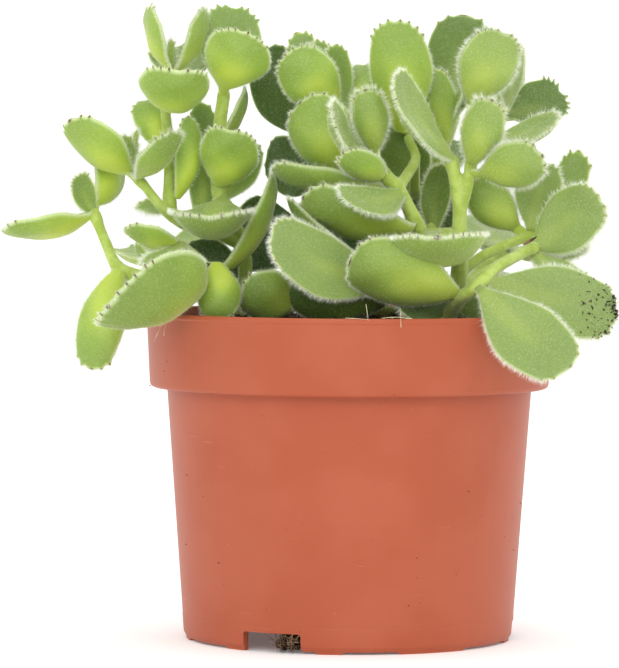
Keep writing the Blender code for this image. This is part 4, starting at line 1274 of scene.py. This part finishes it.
grown = []
for name, *row in LEAVES:
    stem = "stem_" + name.split("_")[0]
    made, rim = make_leaf(name + "_leaf", row, stem, looks_of(name, stem, row[4]))
    grown.append((settle(made, "leaf_skin", "leaf_" + name), rim, stem))
for stem, rows in YOUNG_LEAVES.items():
    for number, row in enumerate(rows, 1):
        name = stem.removeprefix("stem_") + "_young_" + str(number)
        made, rim = make_leaf(name, row, stem, looks_of(name, stem, row[4]))
        grown.append((settle(made, "leaf_skin", stem), rim, stem))
for number, (stem, *row) in enumerate(BUDS, 1):
    name = stem.removeprefix("stem_") + "_bud_" + str(number)
    made, rim = make_leaf(name, row, stem, (0.0, 1.0, BUD_CLAWS, BUD_CLAW_HEIGHT))
    grown.append((settle(made, "leaf_skin"), rim, stem))
print("leaf pieces:", len(grown), "faces:", sum(len(leaf.data.polygons) for leaf, _, _ in grown))

# %% [markdown]
# ## The hairs
#
# The white down is what makes the plant look soft. Real hairs are about a millimetre long and a
# twentieth of that thick, far too many for separate objects, and hair curves would not survive
# as geometry elsewhere. So the hairs are closed three-sided spikes, made together by array
# arithmetic: a dense fringe round every rim and a thinner nap on the faces and the stems. They
# are drawn a little thicker and sparser than the real ones, which would be too fine to show.

# %% Grow the hairs
# Sizes are in millimetres. A pair is the number for no down and the one for full down, but a
# variety is the shortest and the longest hair, in shares of that length.
HAIR_RADIUS = 0.042
FRINGE_PER_MM = (10.0, 26.0)
FRINGE_LENGTH = (0.75, 2.2)
NAP_LENGTH = 0.6
NAP_PER_MM2 = (0.2, 2.6)
STEM_NAP_PER_MM2 = 3.0
NAP_RADIUS = 0.5 * HAIR_RADIUS
HAIR_DEPTH = 0.1
STEEP = 0.8
# Rise and sway: how far a hair leans up or down, and every way, from straight out.
FRINGE_RISE = 0.45
FRINGE_SWAY = 0.22
FRINGE_INSET = 0.12
FRINGE_BAND = 0.3
FRINGE_VARIETY = (0.45, 1.15)
NAP_SWAY = 0.28
NAP_VARIETY = (0.5, 1.2)


def spikes(roots, ways, lengths, radius):
    """Points, triangles and height shares of closed three-sided spikes from roots in metres."""
    ways = unit(ways)
    helper = np.where(np.abs(ways[:, 2:3]) < STEEP, [[0.0, 0.0, 1.0]], [[1.0, 0.0, 0.0]])
    first = unit(np.cross(ways, helper))
    second = np.cross(ways, first)
    feet = roots - ways * HAIR_DEPTH * MM
    corners = []
    for angle in np.arange(3) * math.tau / 3:
        corners.append(feet + radius * MM * (math.cos(angle) * first + math.sin(angle) * second))
    tips = roots + ways * lengths[:, None] * MM
    points = np.stack([*corners, tips], 1).reshape(-1, 3)
    block = np.array([[0, 1, 3], [1, 2, 3], [2, 0, 3], [0, 2, 1]])
    triangles = (block[None] + 4 * np.arange(len(roots))[:, None, None]).reshape(-1, 3)
    shares = np.tile([0.0, 0.0, 0.0, 1.0], len(roots))
    return points, triangles, shares


def fringe(rim):
    """Roots, directions and lengths of the hairs along one leaf's rim."""
    points = rim["points"]
    runs = np.concatenate([[0], np.cumsum(np.linalg.norm(np.diff(points, axis=0), axis=1))])
    count = int(runs[-1] / MM * np.interp(rim["down"], (0, 1), FRINGE_PER_MM))
    at = np.sort(chance.uniform(runs[len(PETIOLE_STEPS)], runs[-len(PETIOLE_STEPS)], count))

    def follow(values):
        return np.stack([np.interp(at, runs, column) for column in values.T], 1)

    outward, upward = unit(follow(rim["outward"])), unit(follow(rim["upward"]))
    level = chance.normal(0, FRINGE_RISE, (count, 1))
    sway = chance.normal(0, FRINGE_SWAY, (count, 3))
    roots = follow(points) - outward * FRINGE_INSET * MM + upward * level * FRINGE_BAND * MM
    lengths = np.interp(rim["down"], (0, 1), FRINGE_LENGTH) * chance.uniform(*FRINGE_VARIETY, count)
    return roots, outward + upward * level + sway, lengths


def nap(piece, per_mm2, length):
    """Roots, directions and lengths of short hairs all over a piece."""
    mesh = piece.data
    mesh.calc_loop_triangles()
    corners = np.empty(len(mesh.loop_triangles) * 3, np.int32)
    mesh.loop_triangles.foreach_get("vertices", corners)
    places = np.empty(len(mesh.vertices) * 3, np.float32)
    mesh.vertices.foreach_get("co", places)
    triangles = places.reshape(-1, 3)[corners.reshape(-1, 3)].astype(float)
    cross = np.cross(triangles[:, 1] - triangles[:, 0], triangles[:, 2] - triangles[:, 0])
    areas = np.linalg.norm(cross, axis=1) / 2
    count = int(areas.sum() / MM ** 2 * per_mm2)
    chosen = chance.choice(len(areas), count, p=areas / areas.sum())
    shares = chance.dirichlet((1, 1, 1), count)
    roots = (triangles[chosen] * shares[:, :, None]).sum(1)
    ways = unit(cross[chosen]) + chance.normal(0, NAP_SWAY, (count, 3))
    return roots, ways, length * chance.uniform(*NAP_VARIETY, count)


def hair_piece(name, groups, radius, slot):
    """One piece from several groups of (roots, directions, lengths)."""
    roots, ways, lengths = (np.concatenate(columns) for columns in zip(*groups))
    points, triangles, shares = spikes(roots, ways, lengths, radius)
    made = piece_from_faces(name, points, triangles.tolist(), white_hair, {"along": shares})
    return settle(made, slot)


for stem in STEMS:
    side = stem.removeprefix("stem_")
    fringes = [fringe(rim) for _, rim, owner in grown if owner == stem]
    naps = []
    for leaf, rim, owner in grown:
        if owner == stem:
            naps.append(nap(leaf, float(np.interp(rim["down"], (0, 1), NAP_PER_MM2)), NAP_LENGTH))
    fringe_hair = hair_piece(side + "_leaf_fringe", fringes, HAIR_RADIUS, "leaf_skin")
    nap_hair = hair_piece(side + "_leaf_nap", naps, NAP_RADIUS, "leaf_skin")
    stem_naps = [nap(stems[stem], STEM_NAP_PER_MM2, NAP_LENGTH)]
    stem_hair = hair_piece(side + "_stem_nap", stem_naps, NAP_RADIUS, "green_stem")
    sizes = [len(made.data.polygons) for made in (fringe_hair, nap_hair, stem_hair)]
    print(side, "hair faces:", sizes)

# %% [markdown]
# ## What the soil leaves behind
#
# A potted plant is never quite clean. The root ball shows in one drain notch as crumbs and dark
# roots, the tip of the lowest leaf is dusted with soil, specks stick to the satin plastic, and
# a few pale fibres hang over the rim. They are the same lumps and threads as in the soil.

# %% Roots in the notch
NOTCH_CRUMBS = 90
NOTCH_CRUMB_SIZES = (0.7, 1.7)
NOTCH_CRUMB_DEPTHS = (0.8, 6)
NOTCH_ROOTS = 30
ROOT_LENGTHS = (1.5, 4)
ROOT_HEIGHTS = (1.7, 4.5)
ROOT_RADIUS = 0.14
ROOT_CURL = 0.5
ROOT_SPREAD = (1.0, 0.3, 0.4)
# Filled: the degrees past the middle of the notch where its crumbs and roots begin and end.
NOTCH_FILLED = (1.5, 10)
notch_first, notch_last = (NOTCH_AZIMUTH + past for past in NOTCH_FILLED)
notch_places, notch_threads = [], []
for _ in range(NOTCH_CRUMBS):
    angle = math.radians(chance.uniform(notch_first, notch_last))
    radius = BASE_RADIUS - chance.uniform(*NOTCH_CRUMB_DEPTHS)
    notch_places.append(around(radius, angle, chance.uniform(1.0, FLOOR_LIFT)))
for _ in range(NOTCH_ROOTS):
    angle = math.radians(chance.uniform(notch_first, notch_last))
    start = np.array(around(BASE_RADIUS, angle, chance.uniform(*ROOT_HEIGHTS)))
    way = unit(np.array([spread * chance.normal() for spread in ROOT_SPREAD]))
    length = chance.uniform(*ROOT_LENGTHS) * MM
    notch_threads.append(wandering_thread(start * MM, way, length, ROOT_RADIUS * MM, ROOT_CURL))
notch_sizes = chance.uniform(*NOTCH_CRUMB_SIZES, NOTCH_CRUMBS)
scattered("notch_crumbs", notch_places, notch_sizes, LUMP_ROUGHNESS, peat_damp)
settle(joined("notch_roots", notch_threads, fibre_dry), "potting_soil")
print("notch crumbs:", NOTCH_CRUMBS, "roots:", NOTCH_ROOTS)

# %% Dust and specks
LEAF_SPECKS = 900
LEAF_SPECK_DRIFT = 0.45
LEAF_SPECK_SMALLEST = 0.06
LEAF_SPECK_SPREAD = 0.7
LEAF_SPECK_RARITY = 8
LEAF_SPECK_CROWDING = 2.2
DUSTY_FROM = 58
POT_SPECKS = 70
POT_SPECK_SIZES = (0.15, 0.4)
POT_SPECK_ROUGHNESS = 0.8
POT_SPECK_HEIGHTS = (0.06, 0.97)
POT_SPECK_SINK = 1.3
dusty = next(leaf for leaf, _, _ in grown if leaf.name == "right_low_2_leaf").data
dusty_spots = []
for vertex in dusty.vertices:
    if vertex.normal.y < 0 and vertex.co.x > in_plant((DUSTY_FROM, 0, 0))[0]:
        dusty_spots.append((np.array(vertex.co) / MM, np.array(vertex.normal)))
dusty_spots = sorted(dusty_spots, key=lambda spot: -spot[0][0])
chosen = (len(dusty_spots) * chance.random(LEAF_SPECKS) ** LEAF_SPECK_CROWDING).astype(int)
speck_places = []
for number in chosen:
    spot, outward = dusty_spots[number]
    drift = chance.normal(0, LEAF_SPECK_DRIFT, 3)
    speck_places.append(spot + drift - outward * (outward @ drift))
speck_sizes = LEAF_SPECK_SMALLEST + LEAF_SPECK_SPREAD * chance.random(LEAF_SPECKS) ** LEAF_SPECK_RARITY
scattered("leaf_specks", speck_places, speck_sizes, LUMP_ROUGHNESS, peat_damp)
speck_places = []
for _ in range(POT_SPECKS):
    angle = chance.uniform(0, math.tau)
    height = chance.uniform(*POT_SPECK_HEIGHTS) ** POT_SPECK_SINK * POT_HEIGHT
    below = BASE_RADIUS + (body_top_radius - BASE_RADIUS) * height / rim_bottom
    beside = outside_top - BAND_TAPER * (POT_HEIGHT - height) / BAND_HEIGHT
    radius = below if height < rim_bottom else beside
    speck_places.append(around(radius, angle, height))
speck_sizes = chance.uniform(*POT_SPECK_SIZES, POT_SPECKS)
scattered("pot_specks", speck_places, speck_sizes, POT_SPECK_ROUGHNESS, peat_damp)
print("specks:", LEAF_SPECKS + POT_SPECKS)

# %% Fibres over the rim and a dried bract
RIM_FIBRE_RADIUS = 0.07
BRACT_SIDES = 6
BRACT_RADII = (0.25, 0.5, 0.1)
BRACT_WIDEST = 0.4
RIM_FIBRES = [
    [(3.6, -51.5, 3.6), (3.9, -52, 1.5), (4.1, -53.1, -0.3)],
    [(-1.5, -52.5, 0.2), (1.5, -53, 0.1), (4.3, -53.1, -0.2)],
    [(7.6, -52.2, 0.2), (11, -52.6, 0.5), (15, -51.6, 0.1)],
    [(12.2, -52.4, 2.0), (12.2, -53.1, 0.4), (12.3, -53.2, -2.0)],
    [(-47, -38, -0.5), (-48, -38.5, -3), (-49.5, -39, -6.5)],
    [(-46, -38, -1), (-46.8, -38.4, -3), (-47, -39, -5)],
]
rim_threads = []
for corners in RIM_FIBRES:
    rim_threads.append(tube(smooth_route(corners), RIM_FIBRE_RADIUS * MM, THREAD_SIDES))
settle(joined("rim_fibres", rim_threads, straw), "potting_soil")
bract_route = smooth_route([(44.3, -18, 18), (46, -18.6, 19), (47.5, -19.4, 20)])
bract_radii = np.interp(np.linspace(0, 1, len(bract_route)), (0, BRACT_WIDEST, 1), BRACT_RADII) * MM
settle(joined("dried_bract", [tube(bract_route, bract_radii, BRACT_SIDES)], fibre_dry), "green_stem")
print("rim fibres:", len(RIM_FIBRES))

# %% [markdown]
# ## The studio
#
# A white studio has a bright sweep and large soft lamps. The floor is pale and matt and glows a
# little, as a light table does, so that the shadow stays faint. The surroundings are white, and
# three wide lamps add shape: a strong one in front and to the left, a weak one on the right, and
# one above. The camera is a long lens a little above the rim, which keeps the pot's sides nearly
# parallel.

# %% Floor, world and lamps


def pale_floor():
    """White seamless sheet on a light table: matt, faintly toothed, and glowing a little."""
    made, tree, shader, place = new_material("seamless_paper_white", {
        "Roughness": 0.95, "Specular IOR Level": 0.1,
        "Emission Color": (1, 1, 1, 1), "Emission Strength": 0.1})
    coloured(tree, shader, mixed(tree, blotches(tree, place, 2, 3.0), "#f6f6f4", "#fafaf9"))
    return made


FLOOR_HALF = 6.0
WORLD_STRENGTH = 1.14
floor_sides = ((-FLOOR_HALF, -FLOOR_HALF), (FLOOR_HALF, -FLOOR_HALF), (FLOOR_HALF, FLOOR_HALF),
               (-FLOOR_HALF, FLOOR_HALF))
floor_corners = [(x, y, pot_low.z) for x, y in floor_sides]
floor = piece_from_faces("studio_floor", floor_corners, [(0, 1, 2, 3)], pale_floor())
floor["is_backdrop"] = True

world = bpy.data.worlds.new("white_studio")
world.use_nodes = True
light = world.node_tree.nodes["Background"].inputs
light["Color"].default_value = (1, 1, 1, 1)
light["Strength"].default_value = WORLD_STRENGTH
bpy.context.scene.world = world
bpy.context.scene.view_settings.view_transform = "Standard"


def soft_lamp(name, place, size, power):
    """A square area lamp aimed at the pot's rim. Place and size are in metres, power in watts."""
    data = bpy.data.lights.new(name, "AREA")
    data.size = size
    data.energy = power
    lamp = in_scene(name, data)
    lamp.location = place
    aim = Vector((0, 0, POT_HEIGHT * MM)) - Vector(place)
    lamp.rotation_euler = aim.to_track_quat("-Z", "Y").to_euler()


soft_lamp("key_lamp", place=(-0.15, -1.2, 0.6), size=0.5, power=4.4)
soft_lamp("fill_lamp", place=(0.8, -0.8, 0.6), size=0.6, power=0.6)
soft_lamp("top_lamp", place=(0.0, 0.3, 1.5), size=1.2, power=2.6)

# %% Camera
CAMERA_TARGET = (-10.4, 0.0, 79.0)
CAMERA_DISTANCE = 1161.0
CAMERA_PITCH = 2.4
CAMERA_ROLL = 0.3
LENS = 240.6
SENSOR_WIDTH = 36
FAR_CLIP = 20

camera_data = bpy.data.cameras.new("camera")
camera_data.lens = LENS
camera_data.sensor_width = SENSOR_WIDTH
camera_data.clip_end = FAR_CLIP
camera = in_scene("camera", camera_data)
pitch = math.radians(CAMERA_PITCH)
back = Vector((0, -math.cos(pitch), math.sin(pitch)))
camera.location = (Vector(CAMERA_TARGET) + back * CAMERA_DISTANCE) * MM
look = (-back).to_track_quat("-Z", "Y").to_matrix()
camera.rotation_euler = (look @ Matrix.Rotation(math.radians(CAMERA_ROLL), 3, "Z")).to_euler()
bpy.context.scene.camera = camera

# %% Print the sizes of both boxes
visual_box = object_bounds()
for name, corners in (("CAD box", cad_box), ("visual box", visual_box)):
    print(name, [[round(v / MM, 1) for v in corner] for corner in corners])
